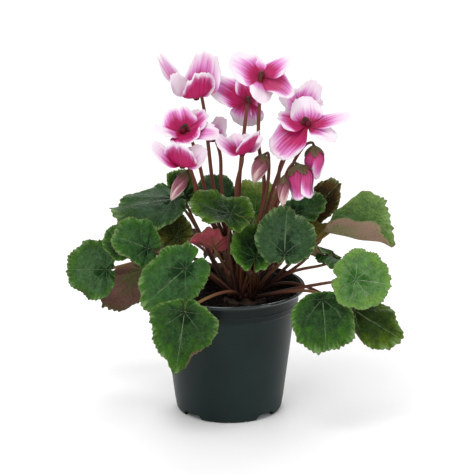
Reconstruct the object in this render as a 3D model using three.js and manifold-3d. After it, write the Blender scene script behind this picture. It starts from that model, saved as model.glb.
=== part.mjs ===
// A potted florist's cyclamen: a grower's pot, peat, a corky tuber, leaves on long stalks,
// blooms with swept-back petals, and buds.
// Millimetres, +Z up. The origin is on the pot's axis, on the plane that its feet stand on.
// The plant's front faces -Y.
import * as THREE from 'three';
import { mergeVertices } from 'three/addons/utils/BufferGeometryUtils.js';
import Module from 'manifold-3d';

const wasm = await Module();
wasm.setup();
const { Manifold, Mesh: SolidMesh } = wasm;

// Pot
const potHeight = 88.5;
const rimRadius = 52.5;
const wall = 1.2;
const potTurns = 30;
const footCount = 4;
const archAngle = 27;
const archHeight = 3.8;
const drainHoleRadius = 3.5;
const fit = 0.3;

// Soil and tuber
const soilTop = 78;
const tuberCentre = [11, 0, 75];
const tuberRadius = 17;
const tuberRise = 6;

// Leaves
const bladeThickness = 0.72;
const outlinePower = 2.3;
const teeth = 14;
const innerRing = 0.58;
const notchReach = 0.95;
const toothReach = 1.02;
const rimRipple = 0.8;
const petioleRadius = 1.05;
const petioleSides = 5;
const petioleSteps = 6;

// Blooms
const petalThickness = 0.7;
const petalCup = 0.16;
const tubeRadius = 2.2;
const tubeLength = 3.4;
const calyxRadius = 2.1;
const calyxLength = 2.7;
const budCalyxLength = 4.4;
const budCalyxDrop = 3.2;
const bloomStalk = [1.5, 0.95];
const budStalk = [1.4, 0.9];
const stalkSides = 5;
const stalkSteps = 8;

// at: where the leaf stalk meets the blade. tip: the blade's far end. face: which way its upper side looks.
// wide: full width. back: how far the lobes reach behind the stalk. belly: where the blade is widest.
// fold: degrees each half lifts from the midrib. cup: lift of the margin. droop: fall of the tip.
// lift and sway: how the stalk rises and leans. crown: which growing point bears it.
const leaves = [
  { name: 'leaf_far_left', crown: 0, at: [-87, 42, 86], tip: [-113, 36, 88], face: [-0.2, -0.9, 0.35],
    wide: 43, back: 7, cup: 3, droop: 2, fold: 4, lift: 32, belly: 0.3, sway: [0, -6, 3] },
  { name: 'leaf_behind_left', crown: 0, at: [-62, 58, 81], tip: [-87, 62, 55], face: [-0.3, 0.75, 0.55],
    wide: 40, back: 6, cup: -2, droop: 2, fold: 0, lift: 36, belly: 0.35 },
  { name: 'leaf_upper_left_round', crown: 1, at: [-55, -14, 118], tip: [-77, -24, 130], face: [0.1, -0.75, 0.6],
    wide: 34, back: 8, cup: 4, droop: 1, fold: 4, lift: 26, belly: 0.25 },
  { name: 'leaf_top_left', crown: 1, at: [-38, 14, 145], tip: [-76, 10, 141], face: [-0.1, -0.42, 0.9],
    wide: 46, back: 8, cup: -2, droop: 3, fold: -8, lift: 30, belly: 0.35, point: 0.14 },
  { name: 'leaf_front_left', crown: 2, at: [-29, -32, 109], tip: [-56, -46, 88], face: [-0.15, -0.85, 0.5],
    wide: 41, back: 15, cup: 1, droop: 2, fold: 3, lift: 18, belly: 0.25 },
  { name: 'leaf_front_hanging', crown: 2, at: [-29, -61, 88], tip: [-35, -69, 49], face: [-0.1, -0.95, 0.2],
    wide: 48, back: 9, cup: -2, droop: 1, fold: -10, lift: 12, power: 1.55, belly: 0.16,
    sway: [14, -8, 4] },
  { name: 'leaf_centre_top', crown: 2, at: [1, -22, 144], tip: [-26, -18, 153], face: [0.05, -0.42, 0.9],
    wide: 35, back: 16, cup: 2, droop: 2, fold: 4, lift: 36, belly: 0.2, sway: [-7, 2, 0] },
  { name: 'leaf_centre_right', crown: 3, at: [37, -41, 122], tip: [39, -21, 150], face: [0, -0.8, 0.6],
    wide: 41, back: 7, cup: -2, droop: 3, fold: -4, lift: 26, power: 2, belly: 0.3, point: 0.1 },
  { name: 'leaf_curled_small', crown: 2, at: [-10, -8, 117], tip: [-27, -10, 124], face: [-0.2, 0.62, 0.7],
    wide: 26, back: 8, cup: 3, droop: 3, fold: 12, lift: 20, belly: 0.25 },
  { name: 'leaf_bright_centre', crown: 3, at: [18, -24, 115], tip: [22, -6, 132], face: [-0.1, -0.65, 0.75],
    wide: 38, back: 14, cup: 2, droop: 1, fold: 26, lift: 22, belly: 0.25 },
  { name: 'leaf_trough_right', crown: 4, at: [68, 0, 125], tip: [107, -10, 120], face: [0, -0.3, 0.96],
    wide: 62, back: 3, cup: 1, droop: 0, fold: 60, lift: 22, power: 1.9, belly: 0.74 },
  { name: 'leaf_round_right', crown: 3, at: [84, -50, 107], tip: [107, -54, 105], face: [0.1, -0.9, 0.4],
    wide: 40, back: 16, cup: 3, droop: 0, fold: 0, lift: 10, belly: 0.1, notch: 0.8 },
  { name: 'leaf_low_right', crown: 3, at: [62, -55, 95], tip: [65, -68, 62], face: [0.1, -0.92, 0.3],
    wide: 44, back: 5, cup: -2, droop: 0, fold: -5, lift: 8, belly: 0.42, point: -0.03 },
  { name: 'leaf_far_right', crown: 4, at: [84, -42, 83], tip: [114, -48, 65], face: [0.25, -0.85, 0.45],
    wide: 33, back: 5, cup: -2, droop: 0, fold: -6, lift: 24, belly: 0.4 },
  { name: 'leaf_brown_right', crown: 4, at: [57, 26, 132], tip: [75, 34, 150], face: [0.2, -0.8, 0.5],
    wide: 22, back: 8, cup: 2, droop: 2, fold: 10, lift: 24, belly: 0.25 },
  { name: 'leaf_back_right_low', crown: 4, at: [45, 13, 135], tip: [66, 17, 144], face: [0.1, -0.55, 0.8],
    wide: 26, back: 10, cup: 1, droop: 2, fold: 8, lift: 22, belly: 0.25 },
  { name: 'leaf_olive_right', crown: 4, at: [56, 6, 113], tip: [67, 8, 130], face: [-0.4, 0.8, 0.4],
    wide: 22, back: 8, cup: 2, droop: 2, fold: 14, lift: 14, belly: 0.25 },
  { name: 'leaf_back_centre', crown: 5, at: [18, 26, 132], tip: [20, 42, 152], face: [0, -0.7, 0.7],
    wide: 30, back: 12, cup: 2, droop: 3, fold: 8, lift: 26, belly: 0.25 },
  { name: 'leaf_back_centre_left', crown: 5, at: [-7, 33, 137], tip: [-13, 45, 155], face: [0, -0.7, 0.7],
    wide: 25, back: 12, cup: 2, droop: 3, fold: 6, lift: 26, belly: 0.25 },
  { name: 'leaf_back_left', crown: 1, at: [-31, 37, 141], tip: [-38, 43, 159], face: [0.1, -0.85, 0.5],
    wide: 20, back: 10, cup: 2, droop: 2, fold: 6, lift: 26, belly: 0.25 },
  { name: 'leaf_olive_left', crown: 1, at: [-36, 4, 121], tip: [-47, 8, 137], face: [0.2, -0.85, 0.4],
    wide: 26, back: 8, cup: 2, droop: 2, fold: 8, lift: 18, belly: 0.25 },
  { name: 'leaf_small_left', crown: 0, at: [-72, 10, 112], tip: [-83, 12, 124], face: [-0.1, -0.8, 0.5],
    wide: 24, back: 8, cup: 1, droop: 2, fold: 4, lift: 20, belly: 0.25 },
  { name: 'leaf_rear_left', crown: 0, at: [-36, 54, 108], tip: [-52, 64, 94], face: [-0.4, 0.6, 0.7],
    wide: 30, back: 12, cup: -2, droop: 3, fold: -5, lift: 26, belly: 0.25 },
  { name: 'leaf_rear_centre_left', crown: 5, at: [-4, 44, 104], tip: [-8, 65, 91], face: [-0.2, 0.55, 0.8],
    wide: 28, back: 14, cup: -2, droop: 3, fold: -5, lift: 26, belly: 0.25 },
  { name: 'leaf_rear_centre', crown: 5, at: [26, 45, 103], tip: [30, 65, 90], face: [0.1, 0.6, 0.8],
    wide: 30, back: 14, cup: -2, droop: 3, fold: -4, lift: 26, belly: 0.25 },
  { name: 'leaf_rear_right', crown: 5, at: [58, 42, 104], tip: [72, 60, 93], face: [0.35, 0.5, 0.8],
    wide: 34, back: 14, cup: -2, droop: 3, fold: -5, lift: 24, belly: 0.25 },
  { name: 'leaf_side_right', crown: 4, at: [74, 28, 98], tip: [100, 40, 88], face: [0.4, 0.25, 0.88],
    wide: 36, back: 12, cup: -2, droop: 3, fold: -6, lift: 20, belly: 0.25 },
];

// throat: centre of the short tube. axis: from the mouth to the calyx.
// Each petal runs to reach [x, y, z] from the throat and is wide millimetres across.
// turn twists it, in degrees. stem: points that the stalk passes on its way up.
const blooms = [
  { name: 'bloom_top_left', bunch: 0, throat: [-22, 4, 220], axis: [-0.1, -0.2, 1],
    petals: [{ reach: [-24, -3, 29], wide: 16, turn: 45 }, { reach: [7, 7, 28], wide: 26 },
      { reach: [-15, -10, 17], wide: 18, turn: 50 }, { reach: [3, -14, 19], wide: 23 },
      { reach: [11, 3, 12], wide: 13 }],
    stem: [[-10, 12, 151], [-14, 10, 184], [-17, 8, 211]] },
  { name: 'bloom_top_centre', bunch: 1, throat: [22, -4, 235], axis: [0, -0.6, 0.8],
    petals: [{ reach: [-21, -3, 12], wide: 26 }, { reach: [18, 5, 11], wide: 14 },
      { reach: [22, -4, -12], wide: 27 }, { reach: [-1, -13, -15], wide: 17 },
      { reach: [-8, 9, 12], wide: 14 }],
    stem: [[24, 5, 154], [20, 2, 189], [21, 0, 224]] },
  { name: 'bloom_behind_centre', bunch: 1, throat: [13, 12, 215], axis: [0, -0.7, 0.6],
    petals: [{ reach: [-26, -1, 14], wide: 23 }, { reach: [-1, 4, -20], wide: 23 },
      { reach: [8, 8, -13], wide: 13 }, { reach: [9, 9, 9], wide: 14 },
      { reach: [-4, 9, 15], wide: 14 }],
    stem: [[7, 8, 153], [10, 2, 192], [12, 2, 210]] },
  { name: 'bloom_mid_left', bunch: 0, throat: [-31, -7, 198], axis: [0, -0.5, 0.85],
    petals: [{ reach: [-4, 5, 15], wide: 24 }, { reach: [-18, -3, 4], wide: 20 },
      { reach: [5, -12, -3], wide: 22 }, { reach: [24, -2, 0], wide: 20 },
      { reach: [15, 9, 12], wide: 17 }],
    stem: [[-16, 9, 153], [-20, 4, 172], [-25, 0, 190]] },
  { name: 'bloom_low_left', bunch: 0, throat: [-31, -17, 178], axis: [0, -0.3, 0.95],
    petals: [{ reach: [-2, -11, 17], wide: 24 }, { reach: [-19, -5, 15], wide: 13, turn: -35 },
      { reach: [14, 0, 11], wide: 17, turn: 45 }, { reach: [-8, 11, 10], wide: 13 },
      { reach: [7, 11, 8], wide: 12 }],
    stem: [[-20, 2, 152], [-25, -8, 169]] },
  { name: 'bloom_low_centre', bunch: 1, throat: [9, -10, 185], axis: [0, -0.25, 1],
    petals: [{ reach: [-17, -5, 11], wide: 14, turn: -20 }, { reach: [7, -10, 16], wide: 24 },
      { reach: [-6, 9, 10], wide: 13 }, { reach: [12, 8, 9], wide: 12 },
      { reach: [4, 11, 9], wide: 10 }],
    stem: [[5, 2, 155], [9, -5, 177]] },
  { name: 'bloom_right', bunch: 2, throat: [53, -4, 202], axis: [0, -0.5, 0.85],
    petals: [{ reach: [-2, 6, 17], wide: 22 }, { reach: [28, -1, 7], wide: 13 },
      { reach: [19, -9, -8], wide: 18 }, { reach: [-20, 1, 6], wide: 19 },
      { reach: [-24, -4, -20], wide: 27 }],
    stem: [[33, 2, 154], [35, 6, 171], [46, 4, 192]] },
  { name: 'bloom_behind_right', bunch: 2, throat: [50, 21, 209], axis: [0, -0.6, 0.8],
    petals: [{ reach: [9, 3, 16], wide: 19 }, { reach: [-15, 2, 12], wide: 20 },
      { reach: [14, 3, 3], wide: 13 }, { reach: [-12, 3, -3], wide: 14 },
      { reach: [5, -6, -9], wide: 12 }],
    stem: [[30, 12, 152], [38, 20, 172], [47, 22, 196]] },
  { name: 'bloom_behind_left', bunch: 0, throat: [-11, 22, 187], axis: [0, -0.3, 1],
    petals: [{ reach: [-9, 4, 17], wide: 16 }, { reach: [6, 4, 13], wide: 14 },
      { reach: [9, 3, 2], wide: 10 }, { reach: [-8, -6, 8], wide: 12 },
      { reach: [4, -8, 4], wide: 10 }],
    stem: [[-5, 12, 152], [-6, 15, 176]] },
];

// neck: where the bud hangs from its hooked stalk. point: its tip.
const buds = [
  { name: 'bud_left', bunch: 0, neck: [-28, -6, 170], point: [-39, -8, 150], girth: 9,
    stem: [[-22, -2, 154], [-24, -4, 165], [-26, -6, 171]] },
  { name: 'bud_centre', bunch: 1, neck: [24, -8, 182], point: [17, -10, 163], girth: 11,
    stem: [[26, 0, 157], [27, -5, 176], [26, -8, 183]] },
  { name: 'bud_right_high', bunch: 2, neck: [57, -8, 188], point: [58, -8, 165], girth: 14,
    stem: [[36, -3, 155], [40, -6, 168], [46, -8, 181], [52, -8, 189], [56, -8, 190]] },
  { name: 'bud_right_opening', bunch: 2, neck: [46, -15, 177], point: [50, -17, 154], girth: 17,
    stem: [[33, -6, 150], [37, -11, 165], [41, -14, 175], [44, -15, 178]] },
  { name: 'bud_right_small', bunch: 2, neck: [37, -21, 170], point: [36, -23, 150], girth: 8,
    stem: [[30, -8, 148], [33, -17, 160], [36, -20, 169]] },
];

// Six leafy crowns stand round the tuber's rim and three flowering ones near its middle.
const crownRing = 10.5;
const bunchRing = 4.2;
const crownHeight = 82;
const knobRadius = 3;
const knobRise = 2.8;
const crownAngles = [145, 195, 245, 300, 5, 75];
const bunchAngles = [150, 270, 20];

const palette = {
  pot: [0x2b3434, 0.42], soil: [0x241a14, 0.98], tuber: [0x6a4a32, 0.95],
  petiole: [0x6e3a30, 0.6], stalk: [0x6a4634, 0.6],
  leaf: [0x3f6a3c, 0.62], olive: [0x6c7a34, 0.65], bloom: [0xd2578c, 0.7], bud: [0xc58a98, 0.7],
};

const V = (p) => new THREE.Vector3(p[0], p[1], p[2]);
const rad = THREE.MathUtils.degToRad;
const mix = THREE.MathUtils.lerp;
const smooth = THREE.MathUtils.smoothstep;
const scatter = (n) => { const s = Math.sin(n * 12.9898 + 4.1414) * 43758.5453; return s - Math.floor(s); };

// Solids for joining and cutting
function toSolid(geometry) {
  const bare = geometry.clone();
  bare.deleteAttribute('normal');
  bare.deleteAttribute('uv');
  const merged = mergeVertices(bare, 1e-4);
  const triVerts = [];
  const index = merged.index.array;
  for (let i = 0; i < index.length; i += 3) {
    const [a, b, c] = [index[i], index[i + 1], index[i + 2]];
    if (a !== b && b !== c && c !== a) triVerts.push(a, b, c);
  }
  return new Manifold(new SolidMesh({
    numProp: 3,
    vertProperties: Float32Array.from(merged.attributes.position.array),
    triVerts: Uint32Array.from(triVerts),
  }));
}

// Only the largest connected body is kept, so that no scrap cut off a petal floats free.
function toGeometry(solid) {
  const mesh = solid.getMesh();
  const { triVerts } = mesh;
  const owner = Array.from({ length: mesh.vertProperties.length / 3 }, (_, i) => i);
  const find = (i) => {
    let root = i;
    while (owner[root] !== root) root = owner[root];
    owner[i] = root;
    return root;
  };
  for (let i = 0; i < triVerts.length; i += 3) {
    owner[find(triVerts[i + 1])] = find(triVerts[i]);
    owner[find(triVerts[i + 2])] = find(triVerts[i]);
  }
  const size = new Map();
  triVerts.forEach((v) => size.set(find(v), (size.get(find(v)) || 0) + 1));
  const main = [...size.entries()].sort((a, b) => b[1] - a[1])[0][0];
  const geometry = new THREE.BufferGeometry();
  geometry.setAttribute('position', new THREE.BufferAttribute(Float32Array.from(mesh.vertProperties), 3));
  geometry.setIndex(Array.from(triVerts).filter((v) => find(v) === main));
  const tight = geometry.toNonIndexed();
  return mergeVertices(tight, 1e-4);
}

function fromLists(points, faces) {
  const geometry = new THREE.BufferGeometry();
  const numbers = points.flatMap((p) => [p.x, p.y, p.z]);
  geometry.setAttribute('position', new THREE.Float32BufferAttribute(numbers, 3));
  geometry.setIndex(faces.flat());
  return geometry;
}

const joinAll = (solids) => solids.reduce((whole, next) => whole.add(next));

// A round stem along a curve, tapering from first to last radius and closing to a point at each end.
function stemAlong(curve, steps, sides, first, last, grow = 0) {
  const points = [];
  const faces = [];
  let across = null;
  const spine = curve.getPoints(steps);
  spine.forEach((centre, i) => {
    const ahead = curve.getTangent(i / steps).normalize();
    if (!across) across = new THREE.Vector3(0.31, 0.95, 0.1);
    across.addScaledVector(ahead, -across.dot(ahead)).normalize();
    const other = ahead.clone().cross(across);
    const radius = mix(first, last, i / steps) + grow;
    for (let k = 0; k < sides; k += 1) {
      const turn = (2 * Math.PI * k) / sides;
      points.push(centre.clone()
        .addScaledVector(across, radius * Math.cos(turn))
        .addScaledVector(other, radius * Math.sin(turn)));
    }
  });
  const startCap = points.length;
  points.push(spine[0].clone().addScaledVector(curve.getTangent(0), -0.4 * first - grow));
  points.push(spine[steps].clone().addScaledVector(curve.getTangent(1), 0.4 * last + grow));
  for (let k = 0; k < sides; k += 1) {
    const next = (k + 1) % sides;
    for (let i = 0; i < steps; i += 1) {
      const [a, b, c, d] = [i * sides + k, i * sides + next, (i + 1) * sides + next, (i + 1) * sides + k];
      faces.push([a, b, c], [a, c, d]);
    }
    faces.push([startCap, next, k], [startCap + 1, steps * sides + k, steps * sides + next]);
  }
  return toSolid(fromLists(points, faces));
}

// Turns an open sheet of points into a closed blade of even thickness. Both faces use the same triangles.
function thicken(sheet, faces, border, thickness) {
  const normals = sheet.map(() => new THREE.Vector3());
  const [ab, ac] = [new THREE.Vector3(), new THREE.Vector3()];
  for (const [a, b, c] of faces) {
    ab.subVectors(sheet[b], sheet[a]);
    ac.subVectors(sheet[c], sheet[a]);
    ab.cross(ac);
    [a, b, c].forEach((i) => normals[i].add(ab));
  }
  normals.forEach((n) => n.normalize());
  const half = thickness / 2;
  const points = [
    ...sheet.map((p, i) => p.clone().addScaledVector(normals[i], half)),
    ...sheet.map((p, i) => p.clone().addScaledVector(normals[i], -half)),
  ];
  const count = sheet.length;
  const closed = [...faces, ...faces.map(([a, b, c]) => [a + count, c + count, b + count])];
  border.forEach((a, i) => {
    const b = border[(i + 1) % border.length];
    closed.push([a, a + count, b + count], [a, b + count, b]);
  });
  return fromLists(points, closed);
}

// Local axes of a blade: ahead to the tip, up from its upper face, side across it.
function bladeAxes(from, to, face) {
  const ahead = V(to).sub(V(from));
  const length = ahead.length();
  ahead.normalize();
  const up = V(face).addScaledVector(ahead, -V(face).dot(ahead)).normalize();
  return { ahead, up, side: up.clone().cross(ahead), length };
}

// Heart-shaped, toothed outline round the point where the stalk joins. The sinus lies at 180 degrees.
function leafReach(leaf, length, angle) {
  const belly = leaf.belly * length;
  const power = leaf.power || outlinePower;
  const outside = (reach) => {
    const along = reach * Math.cos(angle) - belly;
    const share = along / (along > 0 ? length - belly : leaf.back + belly);
    return Math.abs(share) ** power + Math.abs(reach * Math.sin(angle) / (0.5 * leaf.wide)) ** power > 1;
  };
  let [inner, outer] = [0, 2 * (length + leaf.wide)];
  for (let i = 0; i < 24; i += 1) {
    const middle = (inner + outer) / 2;
    if (outside(middle)) outer = middle;
    else inner = middle;
  }
  const tipPoint = 1 + (leaf.point || 0.05) * Math.exp(-((angle / 0.2) ** 2));
  return inner * tipPoint * mix(leaf.notch || 0.14, 1, smooth(Math.PI - Math.abs(angle), 0, 0.2));
}

function leafBlade(leaf, seed) {
  const { ahead, up, side, length } = bladeAxes(leaf.at, leaf.tip, leaf.face);
  const rimCount = 2 * teeth;
  const foldAngle = rad(leaf.fold);
  const place = (angle, part) => {
    const reach = leafReach(leaf, length, angle) * part;
    const along = reach * Math.cos(angle);
    const across = reach * Math.sin(angle);
    const lift = leaf.cup * part * part * smooth(Math.abs(across), 0, 0.4 * leaf.wide)
      + rimRipple * part * part * Math.sin(5 * angle + seed) - leaf.droop * Math.max(0, along / length) ** 2;
    return V(leaf.at).addScaledVector(ahead, along)
      .addScaledVector(side, across * Math.cos(foldAngle))
      .addScaledVector(up, lift + Math.abs(across) * Math.sin(foldAngle));
  };
  const sheet = [V(leaf.at)];
  for (let i = 0; i < teeth; i += 1) sheet.push(place(Math.PI * (2 * i / teeth - 1), innerRing));
  for (let i = 0; i < rimCount; i += 1) {
    sheet.push(place(Math.PI * (2 * i / rimCount - 1), i % 2 ? toothReach : notchReach));
  }
  const faces = [];
  for (let i = 0; i < teeth; i += 1) {
    const [inner, innerNext] = [1 + i, 1 + ((i + 1) % teeth)];
    const [notch, tooth, notchNext] = [2 * i, 2 * i + 1, (2 * i + 2) % rimCount].map((k) => 1 + teeth + k);
    faces.push([0, inner, innerNext], [inner, notch, tooth]);
    faces.push([inner, tooth, innerNext], [innerNext, tooth, notchNext]);
  }
  const border = Array.from({ length: rimCount }, (_, i) => 1 + teeth + i);
  return { geometry: thicken(sheet, faces, border, bladeThickness), up, ahead };
}

// Petal: narrow at the tube, broadest past its middle, bowed outward and slightly cupped.
const petalRows = [0, 0.3, 0.68, 1];
const petalShare = [0.2, 0.8, 1, 0.82];
const petalShoulder = 0.14;

function petalSolid(bloom, petal, seed) {
  const axis = V(bloom.axis).normalize();
  const reach = V(petal.reach);
  const outward = reach.clone().addScaledVector(axis, -reach.dot(axis)).normalize();
  const start = V(bloom.throat).addScaledVector(outward, 0.55 * tubeRadius).addScaledVector(axis, -1.4);
  const end = V(bloom.throat).addScaledVector(reach, 0.94);
  const lip = start.clone()
    .addScaledVector(outward, 0.2 * reach.length())
    .addScaledVector(axis, -0.06 * reach.length());
  const curve = new THREE.QuadraticBezierCurve3(start, lip, end);
  const twist = rad(14 * (scatter(seed) - 0.5) + (petal.turn || 0));
  const sheet = [];
  petalRows.forEach((t, row) => {
    const centre = curve.getPoint(t);
    const ahead = curve.getTangent(t);
    const across = axis.clone().cross(ahead).normalize().applyAxisAngle(ahead, twist * Math.sqrt(t));
    const face = ahead.clone().cross(across);
    const half = 0.5 * petal.wide * petalShare[row];
    [-1, 0, 1].forEach((s) => {
      const tipRound = row === 3 ? (s === 0 ? 0.06 * petal.wide : -petalShoulder * reach.length()) : 0;
      sheet.push(centre.clone().addScaledVector(across, s * half).addScaledVector(ahead, tipRound)
        .addScaledVector(face, (s * s) * petalCup * half));
    });
  });
  const faces = [];
  for (let row = 0; row < 3; row += 1) {
    for (let column = 0; column < 2; column += 1) {
      const a = row * 3 + column;
      faces.push([a, a + 1, a + 4], [a, a + 4, a + 3]);
    }
  }
  const border = [0, 1, 2, 5, 8, 11, 10, 9, 6, 3];
  return toSolid(thicken(sheet, faces, border, petalThickness));
}

// Turns a shape that stands upright so that it stands along the axis.
function turnTo(geometry, axis) {
  geometry.applyQuaternion(new THREE.Quaternion().setFromUnitVectors(new THREE.Vector3(0, 0, 1), axis));
}

function ellipsoid(centre, axis, across, along, turns, rings) {
  const geometry = new THREE.SphereGeometry(1, turns, rings);
  geometry.rotateX(Math.PI / 2);
  geometry.scale(across, across, along);
  turnTo(geometry, V(axis).normalize());
  geometry.translate(centre[0], centre[1], centre[2]);
  return toSolid(geometry);
}

// Teardrop bud, round below its calyx and drawn to a point. Its outline is a share of its radius and length.
const budOutline = [
  [0, 0.04], [0.5, 0.06], [0.86, 0.2], [1, 0.42], [0.86, 0.66], [0.5, 0.86], [0.2, 0.97], [0, 1],
];

function budShape(bud, grow) {
  const neck = V(bud.neck);
  const down = V(bud.point).sub(neck);
  const length = down.length();
  const profile = budOutline.map(([r, z]) => {
    const radius = r ? r * 0.5 * bud.girth + grow : 0;
    return new THREE.Vector2(radius, length * z + (z > 0.9 ? grow : 0));
  });
  profile[0].y -= grow;
  const geometry = new THREE.LatheGeometry(profile, 8);
  geometry.rotateX(Math.PI / 2);
  turnTo(geometry, down.clone().normalize());
  geometry.translate(neck.x, neck.y, neck.z);
  return geometry;
}

function outwardSolid(geometry) {
  const solid = toSolid(geometry);
  if (solid.volume() > 0) return solid;
  const flipped = geometry.toNonIndexed();
  const position = flipped.attributes.position;
  for (let i = 0; i < position.count; i += 3) {
    const [a, b] = [i + 1, i + 2].map((k) => [position.getX(k), position.getY(k), position.getZ(k)]);
    position.setXYZ(i + 1, ...b);
    position.setXYZ(i + 2, ...a);
  }
  return toSolid(flipped);
}

// Pot: one moulded wall with a rolled lip, a collar below it and a raised base inside the standing ring.
function potSolid() {
  const profile = [
    [0, 4], [32.4, 4], [32.9, 0], [35.2, 0], [36.4, 2], [37.6, 9], [45.7, 73.6],
    [46.9, 74.3], [48.6, 85.4], [51.8, 86.2], [rimRadius, 87.2], [51.8, potHeight],
    [50.1, 88.1], [47.4, 85.6], [45.8, 75.3], [44.5, 74.4],
    [37.6 - wall, 9.2], [33.4, 5.4], [0, 5.4],
  ].map(([x, y]) => new THREE.Vector2(x, y));
  profile.push(profile[0].clone());
  const lathe = new THREE.LatheGeometry(profile, potTurns);
  lathe.rotateX(Math.PI / 2);
  let pot = outwardSolid(lathe);
  const halfArch = 35.5 * Math.sin(rad(archAngle / 2));
  for (let i = 0; i < footCount; i += 1) {
    const turn = rad(45 + (360 / footCount) * i);
    const shape = new THREE.Shape();
    shape.moveTo(-halfArch, -1);
    shape.lineTo(halfArch, -1);
    shape.lineTo(halfArch * 0.94, archHeight * 0.6);
    shape.lineTo(halfArch * 0.78, archHeight);
    shape.lineTo(-halfArch * 0.78, archHeight);
    shape.lineTo(-halfArch * 0.94, archHeight * 0.6);
    const arch = new THREE.ExtrudeGeometry(shape, { depth: 12, bevelEnabled: false });
    arch.rotateX(Math.PI / 2);
    arch.rotateZ(Math.PI / 2);
    arch.translate(28, 0, 0);
    arch.rotateZ(turn);
    pot = pot.subtract(outwardSolid(arch));
    const hole = new THREE.CylinderGeometry(drainHoleRadius, drainHoleRadius, 4, 12);
    hole.rotateX(Math.PI / 2);
    hole.translate(22 * Math.cos(turn), 22 * Math.sin(turn), 4.7);
    pot = pot.subtract(outwardSolid(hole));
    for (const offset of [-19, 0, 19]) {
      const notch = new THREE.BoxGeometry(6, 1.8, 2);
      notch.translate(34, 0, -0.1);
      notch.rotateZ(turn + rad(45 + offset));
      pot = pot.subtract(outwardSolid(notch));
    }
  }
  return pot;
}

function tuberSolid(grow) {
  return ellipsoid(tuberCentre, [0, 0, 1], tuberRadius + grow, tuberRise + grow, 16, 8);
}

// Peat: fills the pot inside its wall, with a crumbly top and a hollow for the tuber.
function soilSolid() {
  const side = [[0, 5.75], [32.9, 5.75], [36, 9.6], [44.1, 74.6], [45.2, 75.4]];
  const top = [45.4, 38, 30, 22, 12, 0];
  const turns = 28;
  const points = [];
  const faces = [];
  const rings = [];
  const ring = (radius, height) => {
    const row = [];
    const count = radius ? turns : 1;
    for (let k = 0; k < count; k += 1) {
      const turn = (2 * Math.PI * k) / turns;
      row.push(points.length);
      points.push(new THREE.Vector3(radius * Math.cos(turn), radius * Math.sin(turn), height(turn)));
    }
    rings.push(row);
  };
  side.forEach(([radius, z]) => ring(radius, () => z));
  const crumbs = (turn, radius) => 0.7 * Math.sin(7 * turn + radius) * Math.cos(3 * turn - radius)
    + 0.5 * Math.sin(11 * turn + 2 * radius) - (radius > 44 ? 0.8 : 0);
  top.forEach((radius) => ring(radius, (turn) => soilTop + crumbs(turn, radius)));
  for (let r = 0; r + 1 < rings.length; r += 1) {
    const [lower, upper] = [rings[r], rings[r + 1]];
    for (let k = 0; k < turns; k += 1) {
      const next = (k + 1) % turns;
      if (lower.length === 1) faces.push([lower[0], upper[next], upper[k]]);
      else if (upper.length === 1) faces.push([lower[k], lower[next], upper[0]]);
      else faces.push([lower[k], lower[next], upper[next]], [lower[k], upper[next], upper[k]]);
    }
  }
  return outwardSolid(fromLists(points, faces)).subtract(tuberSolid(fit));
}

const crownPoint = (ringRadius, angle) => [
  tuberCentre[0] + ringRadius * Math.cos(rad(angle)),
  tuberCentre[1] + ringRadius * Math.sin(rad(angle)),
  crownHeight,
];

// Leaf stalk: rises from its crown, leans out and meets the blade from below.
function petioleCurve(leaf, blade, seed) {
  const root = V(crownPoint(crownRing, crownAngles[leaf.crown]));
  const end = V(leaf.at).addScaledVector(blade.up, -(bladeThickness / 2 + fit + 0.7));
  const away = end.clone().sub(root);
  const outward = new THREE.Vector3(away.x, away.y, 0);
  root.addScaledVector(outward.clone().normalize(), 1.6);
  const rise = root.clone().addScaledVector(outward, 0.3 + 0.1 * scatter(seed));
  rise.z += leaf.lift;
  const arrive = blade.up.clone().multiplyScalar(-0.8).addScaledVector(blade.ahead, -0.6);
  const before = end.clone().addScaledVector(arrive, 0.28 * away.length());
  before.z += 0.08 * leaf.lift;
  if (leaf.sway) [rise, before].forEach((control) => control.add(V(leaf.sway)));
  return new THREE.CubicBezierCurve3(root, rise, before, end);
}

function flowerStem(item, top) {
  const root = V(crownPoint(bunchRing, bunchAngles[item.bunch]));
  const first = V(item.stem[0]);
  root.addScaledVector(new THREE.Vector3(first.x - root.x, first.y - root.y, 0).normalize(), 1.3);
  const low = root.clone().lerp(first, 0.4);
  low.x -= 0.12 * (first.x - root.x);
  low.y -= 0.12 * (first.y - root.y);
  return new THREE.CatmullRomCurve3([root, low, ...item.stem.map(V), ...top], false, 'centripetal');
}

const group = new THREE.Group();
group.name = 'potted_cyclamen';

function addPart(name, geometry, look) {
  const [color, roughness] = palette[look];
  const mesh = new THREE.Mesh(geometry, new THREE.MeshStandardMaterial({ color, roughness, metalness: 0 }));
  mesh.name = name;
  group.add(mesh);
}

addPart('pot', toGeometry(potSolid()), 'pot');
addPart('soil', toGeometry(soilSolid()), 'soil');
addPart('tuber', toGeometry(tuberSolid(0)), 'tuber');

const crownKnob = (ringRadius, angle) => (
  ellipsoid(crownPoint(ringRadius, angle), [0, 0, 1], knobRadius, knobRise, 6, 4));
const tuberClear = tuberSolid(fit);

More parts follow.
